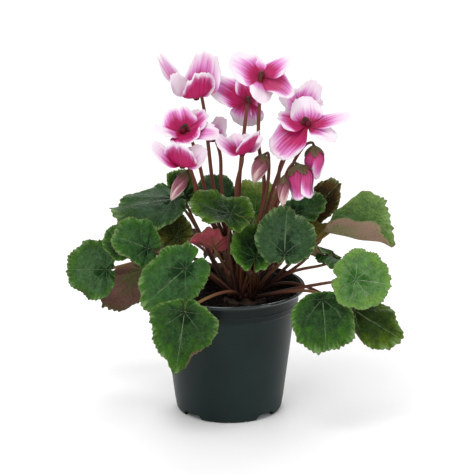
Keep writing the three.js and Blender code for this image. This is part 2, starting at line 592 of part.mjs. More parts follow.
const crownNames = [
  'leaf_stalks_left_rear', 'leaf_stalks_left', 'leaf_stalks_front_left',
  'leaf_stalks_front_right', 'leaf_stalks_right', 'leaf_stalks_rear',
];
const crowns = crownNames.map((name, i) => [crownKnob(crownRing, crownAngles[i])]);
const oliveLeaves = ['leaf_olive_right', 'leaf_olive_left', 'leaf_brown_right'];
leaves.forEach((leaf, i) => {
  const blade = leafBlade(leaf, i);
  const look = oliveLeaves.includes(leaf.name) ? 'olive' : 'leaf';
  addPart(leaf.name, toGeometry(toSolid(blade.geometry)), look);
  const curve = petioleCurve(leaf, blade, i + 50);
  const [thick, thin] = [1.25 * petioleRadius, 0.85 * petioleRadius];
  crowns[leaf.crown].push(stemAlong(curve, petioleSteps, petioleSides, thick, thin));
});
crowns.forEach((solids, i) => {
  addPart(crownNames[i], toGeometry(joinAll(solids).subtract(tuberClear)), 'petiole');
});

const bunchNames = ['flower_stalks_left', 'flower_stalks_centre', 'flower_stalks_right'];
const bunches = bunchNames.map((name, i) => [crownKnob(bunchRing, bunchAngles[i])]);
blooms.forEach((bloom, i) => {
  const axis = V(bloom.axis).normalize();
  const throat = V(bloom.throat);
  const last = V(bloom.stem[bloom.stem.length - 1]);
  const away = last.clone().sub(throat);
  away.addScaledVector(axis, -away.dot(axis)).normalize();
  const hook = [
    throat.clone().addScaledVector(away, 3.4).addScaledVector(axis, 1.2),
    throat.clone().addScaledVector(away, 2.1).addScaledVector(axis, 4.9),
    throat.clone().addScaledVector(axis, 3.6),
  ];
  const curve = flowerStem(bloom, hook);
  const stem = stemAlong(curve, stalkSteps, stalkSides, ...bloomStalk);
  const tube = ellipsoid(bloom.throat, bloom.axis, tubeRadius, tubeLength, 6, 4);
  const tubeClear = ellipsoid(bloom.throat, bloom.axis, tubeRadius + fit, tubeLength + fit, 6, 4);
  const calyxAt = throat.clone().addScaledVector(axis, 2.4).toArray();
  const calyx = ellipsoid(calyxAt, bloom.axis, calyxRadius, calyxLength, 6, 3);
  bunches[bloom.bunch].push(stem.add(calyx).subtract(tubeClear));
  const petals = bloom.petals.map((petal, k) => petalSolid(bloom, petal, i * 7 + k));
  const calyxClear = ellipsoid(calyxAt, bloom.axis, calyxRadius + fit, calyxLength + fit, 6, 3);
  const clear = stemAlong(curve, stalkSteps, stalkSides, ...bloomStalk, fit).add(calyxClear);
  addPart(bloom.name, toGeometry(joinAll(petals).subtract(clear).add(tube)), 'bloom');
});
buds.forEach((bud) => {
  const axis = V(bud.neck).sub(V(bud.point)).normalize();
  const neck = V(bud.neck);
  const curve = flowerStem(bud, [neck.clone().addScaledVector(axis, -0.5)]);
  const calyxAt = neck.clone().addScaledVector(axis, -budCalyxDrop).toArray();
  const calyx = ellipsoid(calyxAt, axis.toArray(), 0.42 * bud.girth, budCalyxLength, 7, 5);
  const stem = stemAlong(curve, stalkSteps, stalkSides, ...budStalk);
  const body = outwardSolid(budShape(bud, 0));
  bunches[bud.bunch].push(stem.add(calyx).subtract(outwardSolid(budShape(bud, fit))));
  addPart(bud.name, toGeometry(body), 'bud');
});
bunches.forEach((solids, i) => {
  addPart(bunchNames[i], toGeometry(joinAll(solids).subtract(tuberClear)), 'stalk');
});

export default group;
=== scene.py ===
import math
import random
import bpy
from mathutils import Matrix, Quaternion, Vector, noise


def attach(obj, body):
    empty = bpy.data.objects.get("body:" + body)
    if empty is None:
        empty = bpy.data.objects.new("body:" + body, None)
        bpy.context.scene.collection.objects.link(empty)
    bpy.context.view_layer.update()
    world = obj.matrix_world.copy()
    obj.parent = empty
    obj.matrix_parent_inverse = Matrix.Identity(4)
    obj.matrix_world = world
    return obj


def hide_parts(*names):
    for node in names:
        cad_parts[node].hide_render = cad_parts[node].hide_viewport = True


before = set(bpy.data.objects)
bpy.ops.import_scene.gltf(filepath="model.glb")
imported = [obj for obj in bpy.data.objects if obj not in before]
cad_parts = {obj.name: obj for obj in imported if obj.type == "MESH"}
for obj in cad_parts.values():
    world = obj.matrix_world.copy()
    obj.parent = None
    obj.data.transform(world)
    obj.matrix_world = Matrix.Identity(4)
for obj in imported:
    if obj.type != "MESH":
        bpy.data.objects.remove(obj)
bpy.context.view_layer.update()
mm = 0.001  # every size below is in millimetres, as on the CAD side
print("frame loaded")


# Small helpers

def srgb(red, green, blue):
    # screen colour, 0 to 255, as the linear colour a shader wants
    linear = [c / 255 / 12.92 if c < 11 else ((c / 255 + 0.055) / 1.055) ** 2.4
              for c in (red, green, blue)]
    return (*linear, 1.0)


def mix(a, b, share):
    return a + (b - a) * share


def smoothStep(x, low, high):
    share = min(1, max(0, (x - low) / (high - low)))
    return share * share * (3 - 2 * share)


def scatter(n):
    value = math.sin(n * 12.9898 + 4.1414) * 43758.5453
    return value - math.floor(value)


def steps(low, high, count):
    return [low + (high - low) * i / count for i in range(count + 1)]


def makePiece(node, points, faces, material, smooth=True, attributes=None):
    # stands in for a CAD node; points in millimetres; attributes are vectors, one a point
    mesh = bpy.data.meshes.new("fine_" + node)
    mesh.from_pydata([Vector(p) * mm for p in points], [], faces)
    mesh.update()
    for key, values in (attributes or {}).items():
        layer = mesh.attributes.new(key, "FLOAT_VECTOR", "POINT")
        layer.data.foreach_set("vector", [c for value in values for c in value])
    mesh.polygons.foreach_set("use_smooth", [smooth] * len(mesh.polygons))
    mesh.materials.append(material)
    piece = bpy.data.objects.new("fine_" + node, mesh)
    bpy.context.collection.objects.link(piece)
    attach(piece, "root")
    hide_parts(node)
    return piece


class Shape:
    # gathers points, faces and point values of one piece
    def __init__(self, *keys):
        self.points, self.faces = [], []
        self.values = {key: [] for key in keys}

    def add(self, points, faces, **values):
        # a value is a list, one for each point, or one tuple for them all
        start = len(self.points)
        self.points += points
        self.faces += [[i + start for i in face] for face in faces]
        for key, column in self.values.items():
            value = values[key]
            column += value if isinstance(value, list) else [value] * len(points)

    def make(self, node, slot, material):
        makePiece(node, self.points, self.faces, material, attributes=self.values)


def thicken(sheet, faces, border, thickness):
    # closes an open sheet; the second half of the points is its underside
    normals = [Vector() for _ in sheet]
    for face in faces:
        a, b, c = sheet[face[0]], sheet[face[1]], sheet[face[2]]
        normal = (b - a).cross(c - a)
        for i in face:
            normals[i] += normal
    half = thickness / 2
    for normal in normals:
        normal.normalize()
    points = [p + n * half for p, n in zip(sheet, normals)]
    points += [p - n * half for p, n in zip(sheet, normals)]
    count = len(sheet)
    closed = faces + [[i + count for i in reversed(face)] for face in faces]
    for i, a in enumerate(border):
        b = border[(i + 1) % len(border)]
        closed.append([a, a + count, b + count, b])
    return points, closed


def gridFaces(rows, columns):
    faces = []
    for row in range(rows - 1):
        for column in range(columns - 1):
            a = row * columns + column
            faces.append([a, a + 1, a + columns + 1, a + columns])
    return faces


def gridBorder(rows, columns):
    last = (rows - 1) * columns
    bottom = list(range(columns))
    right = [row * columns + columns - 1 for row in range(1, rows)]
    top = [last + column for column in range(columns - 2, -1, -1)]
    left = [row * columns for row in range(rows - 2, 0, -1)]
    return bottom + right + top + left


def bezier(control, share):
    a, b, c, d = control
    rest = 1 - share
    return a * rest ** 3 + b * 3 * rest ** 2 * share + c * 3 * rest * share ** 2 + d * share ** 3


def throughPoints(points, share):
    # centripetal curve through the points, as the CAD's flower stalks follow
    place = share * (len(points) - 1)
    index = min(int(place), len(points) - 2)
    weight = place - index
    p1, p2 = points[index], points[index + 1]
    p0 = points[index - 1] if index else p1 * 2 - p2
    p3 = points[index + 2] if index + 2 < len(points) else p2 * 2 - p1
    gaps = [max(math.sqrt((b - a).length), 1e-3) for a, b in ((p0, p1), (p1, p2), (p2, p3))]
    t1 = ((p1 - p0) / gaps[0] - (p2 - p0) / (gaps[0] + gaps[1]) + (p2 - p1) / gaps[1]) * gaps[1]
    t2 = ((p2 - p1) / gaps[1] - (p3 - p1) / (gaps[1] + gaps[2]) + (p3 - p2) / gaps[2]) * gaps[1]
    bend = p2 * 3 - p1 * 3 - t1 * 2 - t2
    swing = p1 * 2 - p2 * 2 + t1 + t2
    return p1 + t1 * weight + bend * weight ** 2 + swing * weight ** 3


def around(across, other, turn):
    return across * math.cos(turn) + other * math.sin(turn)


def ringFaces(rings, turns, inward=False):
    # quads between rings of points that follow each other, and a cap on the first and last ring
    faces = []
    for ring in range(rings - 1):
        a, b = ring * turns, (ring + 1) * turns
        for k in range(turns):
            following = (k + 1) % turns
            faces.append([a + k, a + following, b + following, b + k])
    faces += [list(range(turns))[::-1], [(rings - 1) * turns + k for k in range(turns)]]
    return [face[::-1] for face in faces] if inward else faces


def tube(spine, radii, sides):
    # round tube with closed ends, and how far along and round each point is
    points, along = [], []
    across = Vector((0.31, 0.95, 0.1))  # any start that no stalk runs along
    for i, centre in enumerate(spine):
        ahead = (spine[min(i + 1, len(spine) - 1)] - spine[max(i - 1, 0)]).normalized()
        across = (across - ahead * across.dot(ahead)).normalized()
        other = ahead.cross(across)
        for k in range(sides):
            points.append(centre + around(across, other, math.tau * k / sides) * radii[i])
            along.append((i / (len(spine) - 1), k / sides, 0))
    return points, ringFaces(len(spine), sides), along


def ball(turns, rings, place):
    # closed ball without poles; place turns each point of the unit ball into its own
    points = []
    for ring in range(1, rings):
        polar = math.pi * ring / rings
        for k in range(turns):
            turn = math.tau * k / turns
            level = math.sin(polar)
            points.append(place(Vector((level * math.cos(turn), level * math.sin(turn), math.cos(polar)))))
    return points, ringFaces(rings - 1, turns, inward=True)


# Shader sums. A Wire is a node's output that can be added, multiplied and so on.

class Wire:
    def __init__(self, look, socket):
        self.look, self.socket = look, socket

    def work(self, operation, left, right):
        kinds = [side.socket.type for side in (left, right) if isinstance(side, Wire)]
        if "RGBA" in kinds:
            settings = {"data_type": "RGBA", "blend_type": operation, "clamp_result": False}
            return self.look.node("Mix", settings, {0: 1.0, 6: left, 7: right}, output=2)
        if "VECTOR" in kinds:
            return self.look.node("VectorMath", {"operation": operation}, {0: left, 1: right})
        return self.look.node("Math", {"operation": operation}, {0: left, 1: right})

    def plain(self, operation, *others):
        return self.look.node("Math", {"operation": operation}, dict(enumerate((self, *others))))

    def __add__(self, other):
        return self.work("ADD", self, other)

    def __radd__(self, other):
        return self.work("ADD", other, self)

    def __sub__(self, other):
        return self.work("SUBTRACT", self, other)

    def __rsub__(self, other):
        return self.work("SUBTRACT", other, self)

    def __mul__(self, other):
        return self.work("MULTIPLY", self, other)

    def __rmul__(self, other):
        return self.work("MULTIPLY", other, self)

    def __truediv__(self, other):
        return self.work("DIVIDE", self, other)

    def __pow__(self, other):
        return self.work("POWER", self, other)

    def __abs__(self):
        return self.plain("ABSOLUTE")

    def step(self, low, high):
        # 0 below low, 1 above high, smooth between
        settings = {"interpolation_type": "SMOOTHSTEP"}
        return self.look.node("MapRange", settings, {0: self, 1: low, 2: high, 3: 0.0, 4: 1.0})

    def least(self, other):
        return self.plain("MINIMUM", other)

    def most(self, other):
        return self.plain("MAXIMUM", other)

    def wrap(self):
        return self.plain("FRACT")


class Look:
    def __init__(self, name):
        self.material = bpy.data.materials.new(name)
        self.material.use_nodes = True
        self.tree = self.material.node_tree
        self.shader = self.tree.nodes["Principled BSDF"]

    def node(self, kind, settings, inputs, output=0):
        made = self.tree.nodes.new("ShaderNode" + kind)
        for key, value in settings.items():
            setattr(made, key, value)
        for key, value in inputs.items():
            self.feed(made.inputs[key], value)
        return Wire(self, made.outputs[output])

    def feed(self, socket, value):
        if isinstance(value, Wire):
            self.tree.links.new(value.socket, socket)
        elif socket.type == "RGBA" and not isinstance(value, (tuple, list)):
            socket.default_value = (value, value, value, 1.0)
        elif socket.type == "VECTOR" and not isinstance(value, (tuple, list)):
            socket.default_value = (value, value, value)
        else:
            socket.default_value = value

    def values(self, key):
        # the three numbers of a point attribute
        stored = self.node("Attribute", {"attribute_name": key}, {}, output=1)
        return [self.node("SeparateXYZ", {}, {0: stored}, output=i) for i in range(3)]

    def place(self):
        return self.node("TexCoord", {}, {}, output=3)

    def vector(self, x, y, z):
        return self.node("CombineXYZ", {}, {0: x, 1: y, 2: z})

    def cloud(self, scale, detail=3.0, where=None, roughness=0.5):
        inputs = {"Vector": where or self.place(), "Scale": scale, "Detail": detail}
        return self.node("TexNoise", {}, {**inputs, "Roughness": roughness})

    def cells(self, scale, feature, where=None):
        inputs = {"Vector": where or self.place(), "Scale": scale}
        return self.node("TexVoronoi", {"feature": feature}, inputs, output="Distance")

    def blend(self, share, first, second):
        return self.node("Mix", {"data_type": "RGBA"}, {0: share, 6: first, 7: second}, output=2)

    def bump(self, height, strength, distance):
        bent = self.node("Bump", {}, {"Height": height, "Strength": strength, "Distance": distance})
        self.wire("Normal", bent)

    def wire(self, socket, value):
        self.feed(self.shader.inputs[socket], value)

    def fix(self, **constants):
        for key, value in constants.items():
            self.shader.inputs[key.replace("_", " ")].default_value = value


# Camera at the photograph's viewing angle. farthest is in metres, the other lengths in millimetres.
camera = {"aim": (5.5, 0, 122), "distance": 1500, "elevation": 16, "focalPixels": 2200, "imagePixels": 474,
          "sensor": 36, "farthest": 50}

tilt = math.radians(camera["elevation"])
lensData = bpy.data.cameras.new("camera")
lensData.sensor_width = camera["sensor"]
lensData.lens = camera["sensor"] * camera["focalPixels"] / camera["imagePixels"]
lensData.clip_end = camera["farthest"]
eye = bpy.data.objects.new("camera", lensData)
away = Vector((0, -math.cos(tilt), math.sin(tilt))) * camera["distance"]
eye.location = (Vector(camera["aim"]) + away) * mm
eye.rotation_euler = (math.pi / 2 - tilt, 0, 0)
bpy.context.collection.objects.link(eye)
bpy.context.scene.camera = eye
print("camera placed")

# Pale studio: white floor and surround, a large soft key above, weaker sides and a back light.
# floorSize is in millimetres, aim in metres. Each lamp has its place and size in metres, its power in watts.
studio = {
    "floorSize": 8000, "floorDark": (0.93, 0.93, 0.93, 1), "floorLight": (0.96, 0.96, 0.96, 1),
    "surround": 0.72, "aim": (0, 0, 0.13),
    "lamps": (("key", (-0.35, -0.7, 1.3), 0.9, 9), ("left", (-1.3, -0.5, 0.5), 0.8, 1),
              ("right", (1.2, -0.8, 0.45), 0.5, 3.5), ("back", (0.1, 1.9, 1.9), 1.6, 26)),
}


def buildStudio():
    half = studio["floorSize"] / 2 * mm
    mesh = bpy.data.meshes.new("floor")
    corners = [(-half, -half, 0), (half, -half, 0), (half, half, 0), (-half, half, 0)]
    mesh.from_pydata(corners, [], [(0, 1, 2, 3)])
    floor = bpy.data.objects.new("floor", mesh)
    look = Look("floor")
    look.wire("Base Color", look.blend(look.cloud(1.5), studio["floorDark"], studio["floorLight"]))
    look.fix(Roughness=0.8)
    mesh.materials.append(look.material)
    bpy.context.collection.objects.link(floor)
    world = bpy.data.worlds.new("studio")
    world.use_nodes = True
    surround = world.node_tree.nodes["Background"]
    surround.inputs["Color"].default_value = (1, 1, 1, 1)
    surround.inputs["Strength"].default_value = studio["surround"]
    bpy.context.scene.world = world
    bpy.context.scene.view_settings.view_transform = "Standard"
    for name, place, size, power in studio["lamps"]:
        lamp = bpy.data.lights.new(name, "AREA")
        lamp.shape = "DISK"
        lamp.size = size
        lamp.energy = power
        lit = bpy.data.objects.new(name, lamp)
        lit.location = place
        toward = Vector(studio["aim"]) - lit.location
        lit.rotation_euler = toward.to_track_quat("-Z", "Y").to_euler()
        bpy.context.collection.objects.link(lit)


buildStudio()
print("studio lit")

# Pot, in millimetres and degrees; the painted ridge highlights, the collar's painted shade and the lip in its
# look are in metres. The rubbed plastic colour also paints the ridge highlights.
pot = {
    "height": 88.5, "rim": 52.5, "wall": 1.2, "turns": 180, "softEdge": 0.8,
    "feet": 4, "firstArch": 45, "archAngle": 27, "archHeight": 3.8, "archRadius": 35.5, "archFrom": 28,
    "archDepth": 12, "archEdge": 1.2,
    "holeRadius": 3.5, "holeRing": 22, "holeFrom": 2.7, "holeDepth": 4, "holeSides": 24,
    "notchWidth": 1.8, "notchHeight": 0.9, "notchAngles": (-19, 0, 19), "notchFrom": 31, "notchDepth": 6,
    "colour": srgb(17, 32, 30), "wornAndRidgeHighlight": srgb(30, 47, 44), "roughness": 0.34,
    "ridgeHighlights": (0.0741, 0.0783), "ridgeHighlightReach": 0.0005, "collarLow": (0.0735, 0.0748),
    "collarHigh": (0.0845, 0.0865), "lip": (0.0835, 0.0865), "sharpAbove": 38,
}


def lathe(profile, turns):
    points, faces = [], []
    for k in range(turns):
        turn = math.tau * k / turns
        points += [(r * math.cos(turn), r * math.sin(turn), z) for r, z in profile]
    count = len(profile)
    for k in range(turns):
        start, following = k * count, (k + 1) % turns * count
        for i in range(count - 1):
            faces.append([start + i, following + i, following + i + 1, start + i + 1])
    return points, faces


def roundOff(profile, radius, parts=4):
    # swaps each inner corner for a short curve
    softened = [profile[0]]
    for before, corner, after in zip(profile, profile[1:], profile[2:]):
        before, corner, after = Vector(before), Vector(corner), Vector(after)
        toBefore, toAfter = before - corner, after - corner
        reach = min(radius, 0.45 * toBefore.length, 0.45 * toAfter.length)
        start, end = corner + toBefore.normalized() * reach, corner + toAfter.normalized() * reach
        for share in steps(0, 1, parts):
            softened.append(tuple(start.lerp(corner, share).lerp(corner.lerp(end, share), share)))
    return softened + [profile[-1]]


def cutter(name, points, faces):
    mesh = bpy.data.meshes.new(name)
    mesh.from_pydata([Vector(p) * mm for p in points], [], faces)
    made = bpy.data.objects.new(name, mesh)
    bpy.context.collection.objects.link(made)
    return made


def prism(outline, depth, place):
    # outline in two axes, pushed along the third; place turns (u, v, depth) into a point
    count = len(outline)
    points = [place(u, v, 0) for u, v in outline] + [place(u, v, depth) for u, v in outline]
    faces = [list(range(count))[::-1], [i + count for i in range(count)]]
    faces += [[i, (i + 1) % count, (i + 1) % count + count, i + count] for i in range(count)]
    return points, faces


def potLook():
    look = Look("pot plastic")
    fine = look.cloud(1400, 2)
    broad = look.cloud(28, 4)
    scuffs = look.cloud(160, 6, roughness=0.7).step(0.62, 0.75)
    height = look.node("SeparateXYZ", {}, {0: look.place()}, output=2)
    dust = (1 - height.step(0.0, 0.02)) * broad.step(0.35, 0.7)
    wear = broad.step(0.3, 0.8) * 0.45 + scuffs * 0.15 + dust * 0.3
    colour = look.blend(wear, pot["colour"], pot["wornAndRidgeHighlight"])
    # the collar band under the overhanging lip is darkened: painted shade
    collar = height.step(*pot["collarLow"]) * (1 - height.step(*pot["collarHigh"]))
    # thin lighter lines at two ridges, in the rubbed plastic colour: painted highlight
    ridge = 0.0
    for level in pot["ridgeHighlights"]:
        ridge = ridge + (1 - (abs(height - level) / pot["ridgeHighlightReach"]).step(0.3, 1.0))
    look.wire("Base Color", look.blend(ridge * 0.3, colour * (1 - collar * 0.5), pot["wornAndRidgeHighlight"]))
    lip = height.step(*pot["lip"])
    look.wire("Coat Weight", lip * 0.7)
    look.wire("Roughness", pot["roughness"] - lip * 0.2 + broad * 0.1 + scuffs * 0.1 + dust * 0.2)
    look.bump(fine * 0.5 + broad, 0.12, 0.0006)
    look.fix(Specular_IOR_Level=0.16)
    return look.material


def outward(angle, near):
    # stands an outline upright, looking out from the pot's axis along angle
    def place(u, v, depth):
        x = near + depth
        return (x * math.cos(angle) - u * math.sin(angle), x * math.sin(angle) + u * math.cos(angle), v)
    return place


def downward(angle, ring, low):
    # lays an outline flat, its centre on a ring round the pot's axis
    def place(u, v, depth):
        return (ring * math.cos(angle) + u, ring * math.sin(angle) + v, low + depth)
    return place


def potCutters():
    halfArch = pot["archRadius"] * math.sin(math.radians(pot["archAngle"] / 2))
    archTop = [(1, 0), (0.94, 0.6), (0.78, 1), (-0.78, 1), (-0.94, 0.6), (-1, 0)]
    arch = [(halfArch, -1), *[(halfArch * u, pot["archHeight"] * v) for u, v in archTop], (-halfArch, -1)]
    r = pot["holeRadius"]
    disc = [(r * math.cos(a), r * math.sin(a)) for a in steps(0, math.tau, pot["holeSides"])[:-1]]
    w, h = pot["notchWidth"] / 2, pot["notchHeight"]
    notch = [(-w, -1), (w, -1), (w, h), (-w, h)]
    cutters, halfGap = [], 180 / pot["feet"]
    for i in range(pot["feet"]):
        turn = math.radians(pot["firstArch"]) + math.tau * i / pot["feet"]
        arched = prism(roundOff(arch, pot["archEdge"]), pot["archDepth"], outward(turn, pot["archFrom"]))
        drilled = prism(disc, pot["holeDepth"], downward(turn, pot["holeRing"], pot["holeFrom"]))
        cutters += [cutter("arch", *arched), cutter("hole", *drilled)]
        for offset in pot["notchAngles"]:
            side = turn + math.radians(halfGap + offset)
            slit = prism(notch, pot["notchDepth"], outward(side, pot["notchFrom"]))
            cutters.append(cutter("notch", *slit))
    return cutters


def buildPot():
    outside = [(0.01, 4), (32.4, 4), (32.9, 0), (35.2, 0), (36.4, 2), (37.6, 9), (45.7, 73.6),
               (46.9, 74.3), (47.4, 77.9), (47.9, 78.3), (47.65, 78.8), (48.6, 85.4), (51.8, 86.2),
               (pot["rim"], 87.2), (51.8, pot["height"])]
    inside = [(50.1, 88.1), (47.4, 85.6), (45.8, 75.3), (44.5, 74.4), (37.6 - pot["wall"], 9.2),
              (33.4, 5.4), (0.01, 5.4)]
    points, faces = lathe(roundOff(outside + inside, pot["softEdge"]), pot["turns"])
    count = len(points) // pot["turns"]
    faces.append([k * count for k in range(pot["turns"])][::-1])
    faces.append([k * count + count - 1 for k in range(pot["turns"])])
    piece = makePiece("pot", points, faces, potLook())
    bpy.context.view_layer.objects.active = piece
    for tool in potCutters():
        modifier = piece.modifiers.new("cut", "BOOLEAN")
        modifier.operation = "DIFFERENCE"
        modifier.solver = "EXACT"
        modifier.object = tool
        bpy.ops.object.modifier_apply(modifier="cut")
        bpy.data.objects.remove(tool)
    piece.data.set_sharp_from_angle(angle=math.radians(pot["sharpAbove"]))


buildPot()
print("pot made")

# Tuber and peat. inset: how far the fine tuber stays inside the solid one, sideways and upwards.
ground = {
    "tuberCentre": (11, 0, 75), "tuberRadius": 17, "tuberRise": 6, "tuberTurns": 72, "fit": 0.3,
    "soilTop": 78, "soilRadius": 45.4, "turns": 160, "rings": 41, "ringGap": 1.1,
    "rolling": 0.7, "lumps": 1.1, "fineLumps": 0.6, "edgeFall": 0.8, "edge": (42, 45),
    "crumbs": 1500, "crumbSizes": (0.35, 1.3), "crumbHalves": (0.35, 0.6), "crumbsWithin": 45,
    "bareRing": 16, "seed": 5, "bark": 0.06, "inset": (0.4, 0.2),
    "peat": srgb(18, 13, 10), "peatLight": srgb(56, 40, 28),
    "cork": srgb(72, 48, 32), "corkDark": srgb(34, 22, 16),
}
boxFaces = ((0, 1, 3, 2), (4, 6, 7, 5), (0, 4, 5, 1), (2, 3, 7, 6), (0, 2, 6, 4), (1, 5, 7, 3))
tuberCentre = Vector(ground["tuberCentre"])


def peatLook():
    look = Look("peat")
    lumps = look.cloud(220, 6, roughness=0.7)
    grains = look.cells(900, "F1")
    look.wire("Base Color", look.blend(lumps.step(0.45, 0.75) * 0.7, ground["peat"], ground["peatLight"]))
    look.wire("Roughness", 0.85 + grains * 0.1)
    look.bump(lumps + grains * 0.4, 0.8, 0.0012)
    look.fix(Specular_IOR_Level=0.15)
    return look.material


def soilHeight(radius, turn):
    spot = Vector((radius * math.cos(turn), radius * math.sin(turn), 0))
    other = Vector((radius * math.cos(turn), radius * math.sin(turn), 7))  # apart from spot in the noise
    base = ground["soilTop"] + ground["rolling"] * math.sin(7 * turn + radius) * math.cos(3 * turn - radius)
    base += ground["lumps"] * noise.noise(spot * 0.35) + ground["fineLumps"] * noise.noise(other * 0.9)
    return base - ground["edgeFall"] * smoothStep(radius, *ground["edge"])


def hollowed(x, y, z):
    # the tuber sits in a hollow of its own shape
    flat = math.hypot(x - tuberCentre.x, y - tuberCentre.y) / (ground["tuberRadius"] + ground["fit"])
    if flat >= 1:
        return z
    bulge = (ground["tuberRise"] + ground["fit"]) * math.sqrt(1 - flat * flat)
    return min(z, tuberCentre.z - bulge) if z < tuberCentre.z + bulge else z


def addCrumbs(points, faces):
    # loose crumbs, each a squashed box of its own size
    draw = random.Random(ground["seed"])
    for _ in range(ground["crumbs"]):
        reach, turn = ground["crumbsWithin"] * math.sqrt(draw.random()), draw.uniform(0, math.tau)
        size = draw.uniform(*ground["crumbSizes"])
        centre = Vector((reach * math.cos(turn), reach * math.sin(turn), 0))
        if (centre - Vector((tuberCentre.x, tuberCentre.y, 0))).length < ground["bareRing"]:
            continue
        centre.z = soilHeight(reach, turn) + 0.15 * size
        start = len(points)
        spin = Quaternion((draw.random(), draw.random(), draw.random(), draw.random())).normalized()
        corners = [Vector((x, y, z)) for x in (-1, 1) for y in (-1, 1) for z in (-0.6, 0.6)]
        halves = [c * size * draw.uniform(*ground["crumbHalves"]) for c in corners]
        points += [tuple(centre + spin @ half) for half in halves]
        faces += [[start + i for i in face] for face in boxFaces]


def buildSoil():
    turns = ground["turns"]
    side = [(0.01, 5.75), (32.9, 5.75), (36, 9.6), (44.1, 74.6), (45.2, 75.4)]
    radii = [ground["soilRadius"] - i * ground["ringGap"] for i in range(ground["rings"])]
    angles = [math.tau * k / turns for k in range(turns)]
    points = [(r * math.cos(turn), r * math.sin(turn), z) for r, z in side for turn in angles]
    for r in radii:
        for turn in angles:
            x, y = r * math.cos(turn), r * math.sin(turn)
            points.append((x, y, hollowed(x, y, soilHeight(r, turn))))
    faces = ringFaces(len(side) + len(radii), turns)
    addCrumbs(points, faces)
    makePiece("soil", points, faces, peatLook(), smooth=False)


def barkPoint(unit):
    bark = noise.noise(unit * 6) * 0.3 + noise.noise(unit * 17) * 0.18
    wide, high = ground["tuberRadius"] - ground["inset"][0], ground["tuberRise"] - ground["inset"][1]
    return tuberCentre + Vector((unit.x * wide, unit.y * wide, unit.z * high)) * (1 + bark * ground["bark"])


def buildTuber():
    look = Look("cork")
    bark = look.cloud(260, 6, roughness=0.7)
    look.wire("Base Color", look.blend(bark.step(0.35, 0.7), ground["corkDark"], ground["cork"]))
    look.wire("Roughness", 0.8 + bark * 0.15)
    look.bump(bark, 0.7, 0.001)
    points, faces = ball(ground["tuberTurns"], ground["tuberTurns"] // 2, barkPoint)
    makePiece("tuber", points, faces, look.material)


buildSoil()
buildTuber()
print("peat and tuber made")

# Leaves. Each has its crown, at: where its stalk joins, tip: far end, face: which way its upper side looks.
# wide: full width. fold: degrees each half lifts. back: reach of the lobes. cup: lift of the margin.
# droop: fall of the tip. belly: where it is widest, from at towards the tip. power: how square it is.
# point and notch: reach of the tip and of the sinus. lift: how high its stalk climbs. sway: its bend.
# rolls: stretches of margin rolled up, each by degrees from the tip, half width in degrees, millimetres.
usualLeaf = {"back": 8, "cup": 2, "droop": 2, "belly": 0.25, "power": 2.3, "point": 0.05, "notch": 0.14,
             "lift": 26, "sway": (0, 0, 0), "rolls": ()}


def leafPlan(name, crown, at, tip, face, **special):
    place = {"crown": crown, "at": Vector(at), "tip": Vector(tip), "face": Vector(face)}
    return {"name": "leaf_" + name, **usualLeaf, **place, **special}


